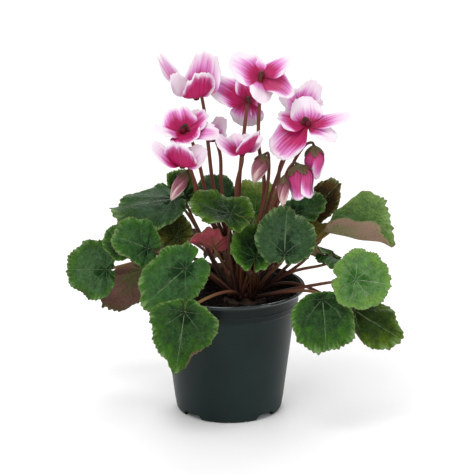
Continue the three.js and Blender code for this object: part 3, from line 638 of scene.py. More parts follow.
leaves = [
    # the far left leaf's pale tone is lightened against the shade it sits in: painted light
    leafPlan("far_left", 0, (-87, 42, 86), (-113, 36, 88), (-0.2, -0.9, 0.35), wide=43, back=7, cup=3,
             fold=4, lift=32, belly=0.3, sway=(0, -6, 3), tone="pale", rolls=[(46, 18, 5)]),
    leafPlan("behind_left", 0, (-62, 58, 81), (-87, 62, 55), (-0.3, 0.75, 0.55), wide=40, back=6, cup=-2,
             fold=0, lift=36, belly=0.35, tone="mid"),
    leafPlan("upper_left_round", 1, (-55, -14, 118), (-77, -24, 130), (0.1, -0.75, 0.6), wide=34, cup=4,
             droop=1, fold=4, tone="silvered"),
    leafPlan("top_left", 1, (-38, 14, 145), (-76, 10, 141), (-0.1, -0.42, 0.9), wide=46, cup=-2, droop=3,
             fold=-8, lift=30, belly=0.35, point=0.14, tone="grey"),
    leafPlan("front_left", 2, (-29, -32, 109), (-56, -46, 88), (-0.15, -0.85, 0.5), wide=41, back=15,
             cup=1, fold=3, lift=18, tone="silvered"),
    leafPlan("front_hanging", 2, (-29, -61, 88), (-35, -69, 49), (-0.1, -0.95, 0.2), wide=48, back=9,
             cup=-2, droop=1, fold=-10, lift=12, power=1.55, belly=0.16, tone="mid", sway=(14, -8, 4),
             rolls=[(21, 26, 6.5)]),
    leafPlan("centre_top", 2, (1, -22, 144), (-26, -18, 153), (0.05, -0.42, 0.9), wide=35, back=16, fold=4,
             lift=36, belly=0.2, tone="dark", sway=(-7, 2, 0)),
    leafPlan("centre_right", 3, (37, -41, 122), (39, -21, 150), (0, -0.8, 0.6), wide=41, back=7, cup=-2,
             droop=3, fold=-4, power=2, belly=0.3, point=0.1, tone="grey"),
    leafPlan("curled_small", 2, (-10, -8, 117), (-27, -10, 124), (-0.2, 0.62, 0.7), wide=26, cup=3,
             droop=3, fold=12, lift=20, tone="flushed"),
    leafPlan("bright_centre", 3, (18, -24, 115), (22, -6, 132), (-0.1, -0.65, 0.75), wide=38, back=14,
             droop=1, fold=26, lift=22, tone="bright"),
    # the trough leaf's tone is lightened for its lit halves: painted light
    leafPlan("trough_right", 4, (68, 0, 125), (107, -10, 120), (0, -0.3, 0.96), wide=62, back=3, cup=1,
             droop=0, fold=60, lift=22, power=1.9, belly=0.74, tone="trough"),
    leafPlan("round_right", 3, (84, -50, 107), (107, -54, 105), (0.1, -0.9, 0.4), wide=40, back=16, cup=3,
             droop=0, fold=0, lift=10, belly=0.1, notch=0.8, tone="light"),
    leafPlan("low_right", 3, (62, -55, 95), (65, -68, 62), (0.1, -0.92, 0.3), wide=44, back=5, cup=-2,
             droop=0, fold=-5, lift=8, belly=0.42, point=-0.03, tone="mid"),
    leafPlan("far_right", 4, (84, -42, 83), (114, -48, 65), (0.25, -0.85, 0.45), wide=33, back=5, cup=-2,
             droop=0, fold=-6, lift=24, belly=0.4, tone="yellowed", rolls=[(-60, 17, 5.5)]),
    leafPlan("brown_right", 4, (57, 26, 132), (75, 34, 150), (0.2, -0.8, 0.5), wide=22, fold=10, lift=24,
             tone="brown"),
    leafPlan("back_right_low", 4, (45, 13, 135), (66, 17, 144), (0.1, -0.55, 0.8), wide=26, back=10, cup=1,
             fold=8, lift=22, tone="silvered"),
    leafPlan("olive_right", 4, (56, 6, 113), (67, 8, 130), (-0.4, 0.8, 0.4), wide=22, fold=14, lift=14,
             tone="olive"),
    leafPlan("back_centre", 5, (18, 26, 132), (20, 42, 152), (0, -0.7, 0.7), wide=30, back=12, droop=3,
             fold=8, tone="lime"),
    leafPlan("back_centre_left", 5, (-7, 33, 137), (-13, 45, 155), (0, -0.7, 0.7), wide=25, back=12,
             droop=3, fold=6, tone="grey"),
    leafPlan("back_left", 1, (-31, 37, 141), (-38, 43, 159), (0.1, -0.85, 0.5), wide=20, back=10, fold=6,
             tone="dark"),
    leafPlan("olive_left", 1, (-36, 4, 121), (-47, 8, 137), (0.2, -0.85, 0.4), wide=26, fold=8, lift=18,
             tone="olive"),
    leafPlan("small_left", 0, (-72, 10, 112), (-83, 12, 124), (-0.1, -0.8, 0.5), wide=24, cup=1, fold=4,
             lift=20, tone="mid"),
    leafPlan("rear_left", 0, (-36, 54, 108), (-52, 64, 94), (-0.4, 0.6, 0.7), wide=30, back=12, cup=-2,
             droop=3, fold=-5, tone="mid"),
    leafPlan("rear_centre_left", 5, (-4, 44, 104), (-8, 65, 91), (-0.2, 0.55, 0.8), wide=28, back=14,
             cup=-2, droop=3, fold=-5, tone="silvered"),
    leafPlan("rear_centre", 5, (26, 45, 103), (30, 65, 90), (0.1, 0.6, 0.8), wide=30, back=14, cup=-2,
             droop=3, fold=-4, tone="mid"),
    leafPlan("rear_right", 5, (58, 42, 104), (72, 60, 93), (0.35, 0.5, 0.8), wide=34, back=14, cup=-2,
             droop=3, fold=-5, lift=24, tone="dark"),
    leafPlan("side_right", 4, (74, 28, 98), (100, 40, 88), (0.4, 0.25, 0.88), wide=36, back=12, cup=-2,
             droop=3, fold=-6, lift=20, tone="silvered"),
]
blade = {"turns": 256, "rings": 14, "crowding": 0.85, "thickness": 0.5, "rollRadius": 2.3,
         "teeth": 64, "toothShape": (0, 0.6, 1, 0.5), "toothDepth": 0.036, "toothFrom": 0.85,
         "toothLeast": 0.3, "toothSpread": 0.9, "trim": 0.01, "tipAngle": 0.2, "sinusAngle": 0.2,
         "lobing": 0.12, "lobeRate": 2.6, "scallops": 0.055, "scallopRate": 7, "wave": 4.4, "waveRate": 3.4,
         "quilt": 0.9, "rumple": 3.6, "rumpleRate": 0.07, "swell": 0.8, "ripple": 0.6}
veins = {"spacing": 0.82, "width": 0.3, "midrib": 0.45, "ladder": 4.6, "slant": 0.8, "forkStart": 0.25,
         "forkSpread": 0.34, "forkWidth": 0.26, "bow": 0.9, "strength": 0.5}
brownedTones = ("olive", "brown")  # tones of the browned leaves


def greens(inner, outer, sheen, silver, under=(112, 82, 70), vein=(146, 172, 128)):
    # inner and outer green, the grey sheen between the veins and how strong it is
    return {"inner": srgb(*inner), "outer": srgb(*outer), "sheen": srgb(*sheen), "silver": silver,
            "under": srgb(*under), "underVein": srgb(128, 100, 70), "edge": srgb(96, 62, 40),
            "fringe": srgb(128, 158, 100), "vein": srgb(*vein)}


tones = {
    "mid": greens((12, 38, 8), (56, 98, 24), (54, 90, 44), 0.6),
    "silvered": greens((16, 48, 14), (56, 100, 30), (66, 108, 58), 0.7),
    "grey": greens((14, 38, 18), (44, 76, 34), (62, 92, 58), 0.8),
    "dark": greens((9, 32, 6), (58, 90, 12), (42, 74, 24), 0.5),
    # pale: greens lightened to make up for the far left leaf's shade: painted light
    "pale": greens((24, 60, 20), (68, 110, 40), (82, 118, 74), 0.8),
    "yellowed": greens((26, 46, 6), (72, 98, 14), (54, 82, 24), 0.5),
    "light": greens((46, 92, 28), (104, 144, 62), (104, 142, 84), 0.7, (124, 84, 84), (212, 226, 196)),
    "bright": greens((8, 38, 5), (70, 116, 28), (38, 80, 26), 0.4),
    "lime": greens((44, 84, 16), (118, 136, 48), (90, 120, 50), 0.5),
    # trough: greens and underside lightened for the trough leaf's lit halves: painted light
    "trough": greens((60, 96, 40), (108, 138, 70), (104, 134, 78), 0.6, (158, 130, 110)),
    "olive": greens((46, 54, 12), (88, 88, 26), (72, 78, 34), 0.4, (90, 80, 32)),
    "brown": greens((38, 34, 14), (80, 54, 24), (54, 52, 28), 0.4, (84, 58, 40)),
    "flushed": greens((30, 62, 24), (84, 108, 44), (64, 98, 50), 0.5, (184, 84, 96)),
}


def leafLook(name, tone):
    look = Look("leaf " + name)
    along, across, part = look.values("flat")
    under, seed, tooth = look.values("side")
    where = look.vector(along, across, seed * 9.0)
    broad = look.cloud(0.12, 3, where)
    fine = look.cloud(0.9, 4, where)
    patch = look.cloud(0.3, 3, where, 0.6)
    net = look.cells(0.42, "DISTANCE_TO_EDGE", where)
    reach = (along * along + across * across) ** 0.5
    angle = across.plain("ARCTAN2", along)

    # main veins run out from the stalk, each forking once; offsets are in millimetres
    sway = (look.cloud(0.07, 2, where) - 0.5) * veins["bow"] + (patch - 0.5) * 0.3
    spokes = angle / veins["spacing"] + sway * part.step(0.0, 0.6) + 20.5
    nearest = abs(spokes.wrap() - 0.5) * veins["spacing"]
    offset = nearest * reach
    main = 1 - (offset / (veins["width"] * (1.3 - part))).step(0.4, 1.0)
    spread = part.step(veins["forkStart"], 1.3) * veins["forkSpread"]
    fork = 1 - (abs(nearest - spread) * reach / veins["forkWidth"]).step(0.3, 1.0)
    fork = fork * part.step(0.28, 0.36)
    chevron = ((reach - offset * veins["slant"] + (fine - 0.5) * 1.6) / veins["ladder"]).wrap()
    rung = (1 - (abs(chevron - 0.5) * veins["ladder"]).step(0.1, 0.4)) * (1 - part.step(0.8, 1.0))
    midrib = 1 - (abs(across + (fine - 0.5) * 0.8) / veins["midrib"]).step(0.3, 1.0)
    midrib = midrib * along.step(0.5, 3.0) * (1 - part * 0.8)

    # dark centre, silvery ring, brighter margin
    zone = part + (broad - 0.5) * 1.1 + (patch - 0.5) * 0.35
    green = look.blend(zone.step(0.45, 1.0), tone["inner"], tone["outer"])
    silver = (1 - main) * zone.step(0.12, 0.4) * (1 - zone.step(0.6, 0.95))
    silver = silver * (0.4 + patch.step(0.2, 0.8) * 0.6)
    green = look.blend(silver * tone["silver"], green, tone["sheen"])
    green = green * (0.2 + fine * 1.1 + patch * 0.5) * (0.84 + net.step(0.05, 0.5) * 0.2)
    thread = main * (1 - part * 0.9) * part.step(0.0, 0.12)
    thread = thread.most(fork * (1 - part) * 0.6).most(rung * 0.12)
    green = look.blend(thread.most(midrib) * veins["strength"] * (0.3 + patch * 1.2), green, tone["vein"])

    # toothed edge: pale hairs, then a thin brown line
    strokes = look.cloud(1.0, 2, look.vector(angle * 15.0, part * 2.5, seed * 3.0))
    hairs = part.step(0.78, 0.97) * strokes.step(0.4, 0.7) * 0.6 + part.step(0.94, 1.0) * 0.3
    green = look.blend(hairs, green, tone["fringe"])
    green = look.blend(tooth * part.step(0.95, 1.0) * 0.6, green, tone["edge"])
    greener = (1 - zone.step(0.2, 0.7)) * 0.5 + part.step(0.86, 1.0) * 0.35
    back = look.blend(greener, tone["under"], tone["outer"])
    back = look.blend(main.most(fork * 0.5) * 0.5, back * (0.75 + fine * 0.5), tone["underVein"])
    look.wire("Base Color", look.blend(under, green, back))
    look.wire("Roughness", 0.42 + under * 0.2 + (fine - 0.5) * 0.24)
    grooves = main * 0.35 + fork * 0.3 + rung * 0.3 - net.step(0.0, 0.6) * 0.5 - patch * 1.2
    look.bump(grooves * (under * 2.0 - 1.0) + fine * 0.3, 0.9, 0.0008)
    look.fix(Specular_IOR_Level=0.08)
    return look.material


def bladeAxes(leaf):
    at, ahead, face = leaf["at"], leaf["tip"] - leaf["at"], leaf["face"]
    length = ahead.length
    ahead.normalize()
    up = (face - ahead * face.dot(ahead)).normalized()
    return at, ahead, up, up.cross(ahead), length


def leafReach(leaf, length, angle):
    # heart-shaped outline round the point where the stalk joins, its sinus at 180 degrees
    belly, power = leaf["belly"] * length, leaf["power"]
    inner, outer = 0, 2 * (length + leaf["wide"])
    for _ in range(24):  # each turn halves what is left between inner and outer
        middle = (inner + outer) / 2
        along = middle * math.cos(angle) - belly
        share = along / (length - belly if along > 0 else leaf["back"] + belly)
        across = middle * math.sin(angle) / (0.5 * leaf["wide"])
        if abs(share) ** power + abs(across) ** power > 1:
            outer = middle
        else:
            inner = middle
    tipPoint = 1 + leaf["point"] * math.exp(-((angle / blade["tipAngle"]) ** 2))
    sinus = mix(leaf["notch"], 1, smoothStep(math.pi - abs(angle), 0, blade["sinusAngle"]))
    return inner * tipPoint * sinus


def bladeRim(leaf, seed, length):
    # round the margin: angle, plain reach, how far the tooth stands out and how far the margin waves
    perTooth = blade["turns"] // blade["teeth"]
    rim = []
    for i in range(blade["turns"]):
        angle = math.tau * i / blade["turns"] - math.pi
        size = blade["toothLeast"] + blade["toothSpread"] * scatter(seed * 53 + i // perTooth)
        tooth = blade["toothShape"][i % perTooth] * size
        spot = Vector((math.cos(angle), math.sin(angle), seed))
        wave = blade["lobing"] * noise.noise(spot * blade["lobeRate"])
        wave += blade["scallops"] * noise.noise(spot * blade["scallopRate"])
        rim.append((angle, leafReach(leaf, length, angle), tooth, wave))
    return rim


def rolledUp(leaf, angle, full, reach):
    # bends what lies past each rolled stretch round a small arc; gives the new reach and the rise
    raised = 0
    for centre, width, depth in leaf["rolls"]:
        held = full - depth * math.exp(-(((math.degrees(angle) - centre) / width) ** 2))
        if reach > held:
            bend = (reach - held) / blade["rollRadius"]
            reach = held + blade["rollRadius"] * math.sin(bend)
            raised += blade["rollRadius"] * (1 - math.cos(bend))
    return reach, raised


def bladeLift(leaf, seed, length, angle, part, along, across):
    # cupped and drooping, quilted between the veins, rumpled, and rippled towards the margin
    lift = leaf["cup"] * part ** 2 * smoothStep(abs(across), 0, 0.4 * leaf["wide"])
    fall = leaf["droop"] * max(0, along / length) ** 2
    lift += blade["swell"] * part ** 2 * math.sin(5 * angle + seed) - fall
    sector = angle / veins["spacing"] + 0.5
    between = abs(sector - math.floor(sector) - 0.5) * 2
    lift += blade["quilt"] * between ** 1.1 * math.sin(math.pi * part) ** 0.7
    lift += blade["rumple"] * noise.noise(Vector((along, across, 9 * seed)) * blade["rumpleRate"]) * part
    lift += blade["ripple"] * part ** 4 * math.sin(13 * angle + 2 * seed)
    spot = Vector((math.cos(angle), math.sin(angle), seed))
    return lift + blade["wave"] * part ** 3 * noise.noise(spot * blade["waveRate"])


def bladeSheet(leaf, seed):
    # the open sheet, with each point's place on the flat blade and its tooth for the shader
    at, ahead, up, side, length = bladeAxes(leaf)
    fold = math.radians(leaf["fold"])
    rim = bladeRim(leaf, seed, length)
    sheet, flat, teeth = [at], [(0, 0, 0)], [0]
    for ring in range(1, blade["rings"] + 1):
        part = (ring / blade["rings"]) ** blade["crowding"]
        for angle, outline, tooth, wave in rim:
            toothed = blade["toothDepth"] * (tooth - 0.5) - blade["trim"]
            full = outline * (1 + toothed * smoothStep(part, blade["toothFrom"], 1))
            full *= 1 + wave * part
            reach, raised = rolledUp(leaf, angle, full, full * part)
            along, across = reach * math.cos(angle), reach * math.sin(angle)
            lift = bladeLift(leaf, seed, length, angle, part, along, across) + raised
            point = at + ahead * along + side * (across * math.cos(fold))
            sheet.append(point + up * (lift + abs(across) * math.sin(fold)))
            flat.append((full * part * math.cos(angle), full * part * math.sin(angle), part))
            teeth.append(tooth)
    return sheet, flat, teeth


def buildLeaf(leaf, seed, looks):
    turns, rings = blade["turns"], blade["rings"]
    sheet, flat, teeth = bladeSheet(leaf, seed)
    faces = [[0, 1 + i, 1 + (i + 1) % turns] for i in range(turns)]
    for ring in range(rings - 1):
        start = 1 + ring * turns
        for i in range(turns):
            following = (i + 1) % turns
            faces.append([start + i, start + turns + i, start + turns + following, start + following])
    border = [1 + (rings - 1) * turns + i for i in range(turns)]
    points, closed = thicken(sheet, faces, border, blade["thickness"])
    sides = [(under, seed, tooth) for under in (0, 1) for tooth in teeth]
    slot = "olive_leaf" if leaf["tone"] in brownedTones else "leaf"
    values = {"flat": flat * 2, "side": sides}
    makePiece(leaf["name"], points, closed, looks[leaf["tone"]], attributes=values)


leafLooks = {name: leafLook(name, tone) for name, tone in tones.items()}
for number, leaf in enumerate(leaves):
    buildLeaf(leaf, number, leafLooks)
print("leaves made")

# Stalks, with the crowns that they grow from. leafOut: how far a leaf stalk runs level before it climbs, as a
# share of its way, and how much that varies. approach: how far behind the blade it turns in, as a share too.
# flowerLow and flowerBow: where a flower stalk is bowed, and how much. solidJoin: how far under the blade the
# CAD's stalk ends. leafJoin: the same for this one.
stalks = {
    "crownHeight": 82, "crownRing": 10.5, "crownAngles": (145, 195, 245, 300, 5, 75),
    "bunchRing": 4.2, "bunchAngles": (150, 270, 20),
    "knobRadius": 3, "knobRise": 2.8, "knobTurns": 20, "knobLumps": 0.18,
    "petioleRadius": 1.05, "petioleTaper": (1.25, 0.85), "flowerRadii": (1.5, 0.95),
    "budRadii": (1.4, 0.9), "flare": (1.5, 1.2),
    "leafRoot": 1.6, "flowerRoot": 1.3, "leafJoin": 0.2, "solidJoin": 1.36, "sides": 10, "steps": 30,
    "leafOut": (0.3, 0.1), "approach": 0.28, "approachLift": 0.08, "flowerLow": 0.4, "flowerBow": 0.12,
    # the leaf stalks' base colour is their red-brown, darkened further as painted shade deep in the crown
    "leafBaseAndShade": srgb(38, 19, 11), "leafMiddle": srgb(94, 54, 35), "leafEnd": srgb(114, 90, 48),
    "flowerBase": srgb(92, 42, 32), "flowerMiddle": srgb(114, 64, 48), "flowerEnd": srgb(60, 42, 34),
    "calyx": srgb(84, 80, 46), "calyxTip": srgb(104, 74, 56), "rib": srgb(42, 34, 18),
}
crownSides = ("left_rear", "left", "front_left", "front_right", "right", "rear")
bunchSides = ("left", "centre", "right")


def stalkLook(name, base, middle, end):
    look = Look(name)
    along, turn, kind = look.values("way")
    streaks = look.cloud(1.0, 4, look.vector(turn * 9.0, along * 5.0, kind * 7.0))
    mottle = look.cloud(500, 3)
    # colour runs from base to end; a leaf stalk's base colour, also used for the streaks, is deepened by
    # painted shade
    colour = look.blend(along.step(0.05, 0.45), stalks[base], stalks[middle])
    colour = look.blend(along.step(0.5, 0.95), colour, stalks[end])
    colour = look.blend(streaks.step(0.4, 0.8) * 0.35, colour, stalks["leafBaseAndShade"])
    ribs = look.cloud(1.0, 3, look.vector(turn * 46.0, along * 1.5, kind * 3.0)).step(0.35, 0.7)
    sepal = look.blend(along.step(0.3, 1.0), stalks["calyx"], stalks["calyxTip"])
    sepal = look.blend(ribs * 0.8, sepal, stalks["rib"])
    look.wire("Base Color", look.blend(kind.step(0.4, 0.6), colour, sepal))
    look.wire("Roughness", 0.45 + mottle * 0.25)
    look.bump(streaks * 0.6 + mottle * 0.4, 0.35, 0.0004)
    look.fix(Specular_IOR_Level=0.25)
    return look.material


def crownPoint(ring, angle):
    turn = math.radians(angle)
    return Vector((tuberCentre.x + ring * math.cos(turn), tuberCentre.y + ring * math.sin(turn),
                   stalks["crownHeight"]))


def knob(shape, centre):
    # lumpy growing point
    def place(unit):
        lump = 1 + stalks["knobLumps"] * noise.noise(unit * 3 + centre)
        wide, high = stalks["knobRadius"], stalks["knobRise"]
        return centre + Vector((unit.x * wide, unit.y * wide, unit.z * high)) * lump

    shape.add(*ball(stalks["knobTurns"], stalks["knobTurns"] // 2, place), way=(0, 0, 0))


def petiole(leaf, seed):
    # climbs from its crown, then bends to reach the blade from behind
    at, ahead, up, *_ = bladeAxes(leaf)
    root = crownPoint(stalks["crownRing"], stalks["crownAngles"][leaf["crown"]])
    end = at - up * stalks["leafJoin"]
    away = at - up * stalks["solidJoin"] - root
    level = Vector((away.x, away.y, 0))
    root = root + level.normalized() * stalks["leafRoot"]
    out, spread = stalks["leafOut"]
    rise = root + level * (out + spread * scatter(seed)) + Vector((0, 0, leaf["lift"]))
    before = end + (up * -0.8 + ahead * -0.6) * (stalks["approach"] * away.length)
    before = before + Vector((0, 0, stalks["approachLift"] * leaf["lift"]))
    sway = Vector(leaf["sway"])
    control = (root, rise + sway, before + sway, end)
    return [bezier(control, share) for share in steps(0, 1, stalks["steps"])]


def addStalk(shape, spine, thick, thin):
    radii = [mix(thick, thin, i / (len(spine) - 1)) for i in range(len(spine))]
    for i, flare in enumerate(stalks["flare"]):
        radii[i] *= flare
    points, faces, along = tube(spine, radii, stalks["sides"])
    shape.add(points, faces, way=along)


# Young stalks stand nearer the middle of the plant, by ring; their folded leaf begins at foldFrom.
young = {"perCrown": 8, "shortest": 12, "longest": 52, "lean": 12, "root": 1.5, "ring": 0.8, "radius": 0.95,
         "steps": 24, "foldFrom": 0.78, "foldSpan": 0.23, "foldRadius": 1.1, "seed": 11}


def youngRadius(t):
    # thins along its way, then swells where the leaf is folded
    plain = young["radius"] * (1.2 - 0.4 * t)
    if t < young["foldFrom"]:
        return plain
    folded = math.sin(math.pi * (t - young["foldFrom"]) / young["foldSpan"]) ** 0.8
    return plain + young["foldRadius"] * folded


def youngStalk(shape, root, draw):
    # short stalk with a leaf still folded at its end
    height, turn = draw.uniform(young["shortest"], young["longest"]), draw.uniform(0, math.tau)
    ahead = Vector((math.cos(turn), math.sin(turn), 0))
    lean = ahead * draw.uniform(0.2, 1) * young["lean"]
    start = root + ahead * young["root"]
    bend = start + lean * 0.2 + Vector((0, 0, 0.45 * height))
    end = start + lean + Vector((0, 0, height))
    shares = steps(0, 1, young["steps"])
    spine = [start * (1 - t) ** 2 + bend * (2 * t * (1 - t)) + end * t * t for t in shares]
    points, faces, along = tube(spine, [youngRadius(t) for t in shares], stalks["sides"])
    shape.add(points, faces, way=[(t, k, 1 if t > 0.8 else 0) for t, k, _ in along])


def buildLeafStalks():
    look = stalkLook("leaf stalk", "leafBaseAndShade", "leafMiddle", "leafEnd")
    draw = random.Random(young["seed"])
    thick, thin = [share * stalks["petioleRadius"] for share in stalks["petioleTaper"]]
    for crown, side in enumerate(crownSides):
        angle = stalks["crownAngles"][crown]
        shape = Shape("way")
        knob(shape, crownPoint(stalks["crownRing"], angle))
        for i, leaf in enumerate(leaves):
            if leaf["crown"] == crown:
                addStalk(shape, petiole(leaf, i + 50), thick, thin)
        for _ in range(young["perCrown"]):
            youngStalk(shape, crownPoint(stalks["crownRing"] * young["ring"], angle), draw)
        shape.make("leaf_stalks_" + side, "leaf_stalk", look)


buildLeafStalks()
print("leaf stalks made")

# Blooms. throat: centre of the short tube. axis: from its mouth to the calyx. reach: where a petal ends.
# Each petal has its reach, its width, blush (how far out the deep colour runs) and a twist in degrees.
blooms = [
    dict(name="bloom_top_left", bunch=0, throat=(-22, 4, 220), axis=(-0.1, -0.2, 1),
         petals=[((-24, -3, 29), 16, 0.75, 60), ((7, 7, 28), 26, 0.68, 8), ((-15, -10, 17), 14, 0.35, 80),
                 ((3, -14, 19), 23, 0.95, 0), ((11, 3, 12), 13, 0.4, 32)],
         stem=[(-10, 12, 151), (-14, 10, 184), (-17, 8, 211)]),
    dict(name="bloom_top_centre", bunch=1, throat=(22, -4, 235), axis=(0, -0.6, 0.8),
         petals=[((-21, -3, 12), 26, 0.6, 0), ((18, 5, 11), 14, 0.7, 0), ((22, -4, -12), 27, 0.8, -16),
                 ((-1, -13, -15), 17, 0.35, -16), ((-8, 9, 12), 14, 0.6, 0)],
         stem=[(24, 5, 154), (20, 2, 189), (21, 0, 224)]),
    dict(name="bloom_behind_centre", bunch=1, throat=(13, 12, 215), axis=(0, -0.7, 0.6),
         petals=[((-26, -1, 14), 23, 0.7, 12), ((-1, 4, -20), 23, 0.55, 4), ((8, 8, -13), 13, 0.5, 0),
                 ((9, 9, 9), 14, 0.7, -28), ((-4, 9, 15), 14, 0.7, 0)],
         stem=[(7, 8, 153), (10, 2, 192), (12, 2, 210)]),
    dict(name="bloom_mid_left", bunch=0, throat=(-31, -7, 198), axis=(0, -0.5, 0.85),
         petals=[((-4, 5, 15), 24, 0.75, 0), ((-18, -3, 4), 20, 0.42, 20), ((5, -12, -3), 22, 0.9, 12),
                 ((24, -2, 0), 20, 0.62, 0), ((15, 9, 12), 17, 0.75, 0)],
         stem=[(-16, 9, 153), (-20, 4, 172), (-25, 0, 190)]),
    dict(name="bloom_low_left", bunch=0, throat=(-31, -17, 178), axis=(0, -0.3, 0.95),
         petals=[((-2, -11, 17), 24, 0.9, 0), ((-19, -5, 15), 13, 0.6, -35), ((14, 0, 11), 17, 0.45, 45),
                 ((-8, 11, 10), 13, 0.5, 0), ((7, 11, 8), 12, 0.3, 0)],
         stem=[(-20, 2, 152), (-25, -8, 169)]),
    dict(name="bloom_low_centre", bunch=1, throat=(9, -10, 185), axis=(0, -0.25, 1),
         petals=[((-17, -5, 11), 14, 0.6, -20), ((7, -10, 16), 20, 0.95, 0), ((-6, 9, 10), 13, 0.5, -30),
                 ((12, 8, 9), 12, 0.5, 20), ((4, 11, 9), 10, 0.5, 0)],
         stem=[(5, 2, 155), (9, -5, 177)]),
    dict(name="bloom_right", bunch=2, throat=(53, -4, 202), axis=(0, -0.5, 0.85),
         petals=[((-2, 6, 17), 22, 0.5, 0), ((28, -1, 7), 13, 0.6, 0), ((19, -9, -8), 18, 0.45, -28),
                 ((-20, 1, 6), 19, 0.8, 0), ((-24, -4, -20), 27, 0.75, 0)],
         stem=[(33, 2, 154), (35, 6, 171), (46, 4, 192)]),
    dict(name="bloom_behind_right", bunch=2, throat=(50, 21, 209), axis=(0, -0.6, 0.8),
         petals=[((9, 3, 16), 19, 0.52, 0), ((-15, 2, 12), 20, 0.5, 0), ((14, 3, 3), 13, 0.4, -12),
                 ((-12, 3, -3), 14, 0.4, 12), ((5, -6, -9), 12, 0.3, 0)],
         stem=[(30, 12, 152), (38, 20, 172), (47, 22, 196)]),
    dict(name="bloom_behind_left", bunch=0, throat=(-11, 22, 187), axis=(0, -0.3, 1),
         petals=[((-9, 4, 17), 16, 0.6, 30), ((6, 4, 13), 14, 0.45, -5), ((9, 3, 2), 10, 0.55, 0),
                 ((-8, -6, 8), 12, 0.6, -30), ((4, -8, 4), 10, 0.4, 0)],
         stem=[(-5, 12, 152), (-6, 15, 176)]),
]
# Buds. neck: where the bud hangs from its hook. point: its tip. opened: 0 furled, 1 skirt of free tips.
buds = [
    dict(name="bud_left", bunch=0, neck=(-28, -6, 170), point=(-39, -8, 150), girth=9,
         opened=0, flush=0.75, stem=[(-22, -2, 154), (-24, -4, 165), (-26, -6, 171)]),
    dict(name="bud_centre", bunch=1, neck=(24, -8, 182), point=(17, -10, 163), girth=11,
         opened=0.1, flush=0.75, stem=[(26, 0, 157), (27, -5, 176), (26, -8, 183)]),
    dict(name="bud_right_high", bunch=2, neck=(57, -8, 188), point=(58, -8, 165), girth=14,
         opened=0.35, flush=0.85,
         stem=[(36, -3, 155), (40, -6, 168), (46, -8, 181), (52, -8, 189), (56, -8, 190)]),
    dict(name="bud_right_opening", bunch=2, neck=(46, -15, 177), point=(50, -17, 154), girth=19,
         opened=0.8, flush=0.95, stem=[(33, -6, 150), (37, -11, 165), (41, -14, 175), (44, -15, 178)]),
    dict(name="bud_right_small", bunch=2, neck=(37, -21, 170), point=(36, -23, 150), girth=8,
         opened=0, flush=0.7, stem=[(30, -8, 148), (33, -17, 160), (36, -20, 169)]),
]
petalForm = {"rows": 24, "columns": 17, "thickness": 0.35, "tubeRadius": 2.2, "sunk": 1.4, "reach": 0.94,
             "startOut": 0.55, "lipOut": 0.2, "lipDown": 0.06, "spin": 14, "cup": 0.16, "frill": 0.8,
             "rags": 0.09, "fineRags": 0.05, "roundTip": 0.24}
budForm = {"rows": 20, "columns": 13, "thickness": 0.3, "petals": 5, "core": 0.86, "coreReach": 0.94,
           "wrap": (1.5, 0.3), "overlap": 0.07, "tipWave": 0.35, "rags": 0.14, "roundTip": 0.2,
           "calyx": 0.32, "calyxRise": 0.9, "calyxGap": 0.35}
sepals = {"turns": 60, "rows": 9, "thickness": 0.3, "gaps": 0.48, "ribs": 15, "ribRise": 0.12,
          "flare": 0.25}
# The corolla's tube and its stalk's hook: distance from the axis, and distance along it.
flowerTube = [(0.3, 3.2), (1.3, 3.0), (2.0, 1.6), (2.2, -0.4), (2.1, -2.5), (1.9, -3.3), (1.4, -3.1),
              (1.1, -1.4), (0.35, -0.6), (0.3, -3.2), (0.1, -3.3)]
flowerHook = [(3.4, 1.2), (2.1, 4.9), (0, 3.6)]
flowerCalyx = {"rise": 3.9, "length": 3.2}
# the throat tint colours the tube's inside: a bloom's dark eye, deepened as painted shade
petalTints = {"deep": srgb(134, 12, 48), "rose": srgb(178, 30, 94), "pink": srgb(222, 134, 204),
              "white": srgb(234, 220, 230), "throat": srgb(70, 14, 30), "line": srgb(116, 4, 46),
              "lines": 0.36, "rim": 1.0}
budTints = {"deep": srgb(96, 54, 52), "rose": srgb(148, 88, 102), "pink": srgb(188, 136, 148),
            "white": srgb(212, 184, 178), "throat": srgb(110, 70, 66), "line": srgb(92, 34, 48),
            "lines": 0.8, "rim": 0.5}
openingTints = {"deep": srgb(142, 32, 78), "rose": srgb(190, 66, 128), "rim": 0.85, "lines": 0.7}


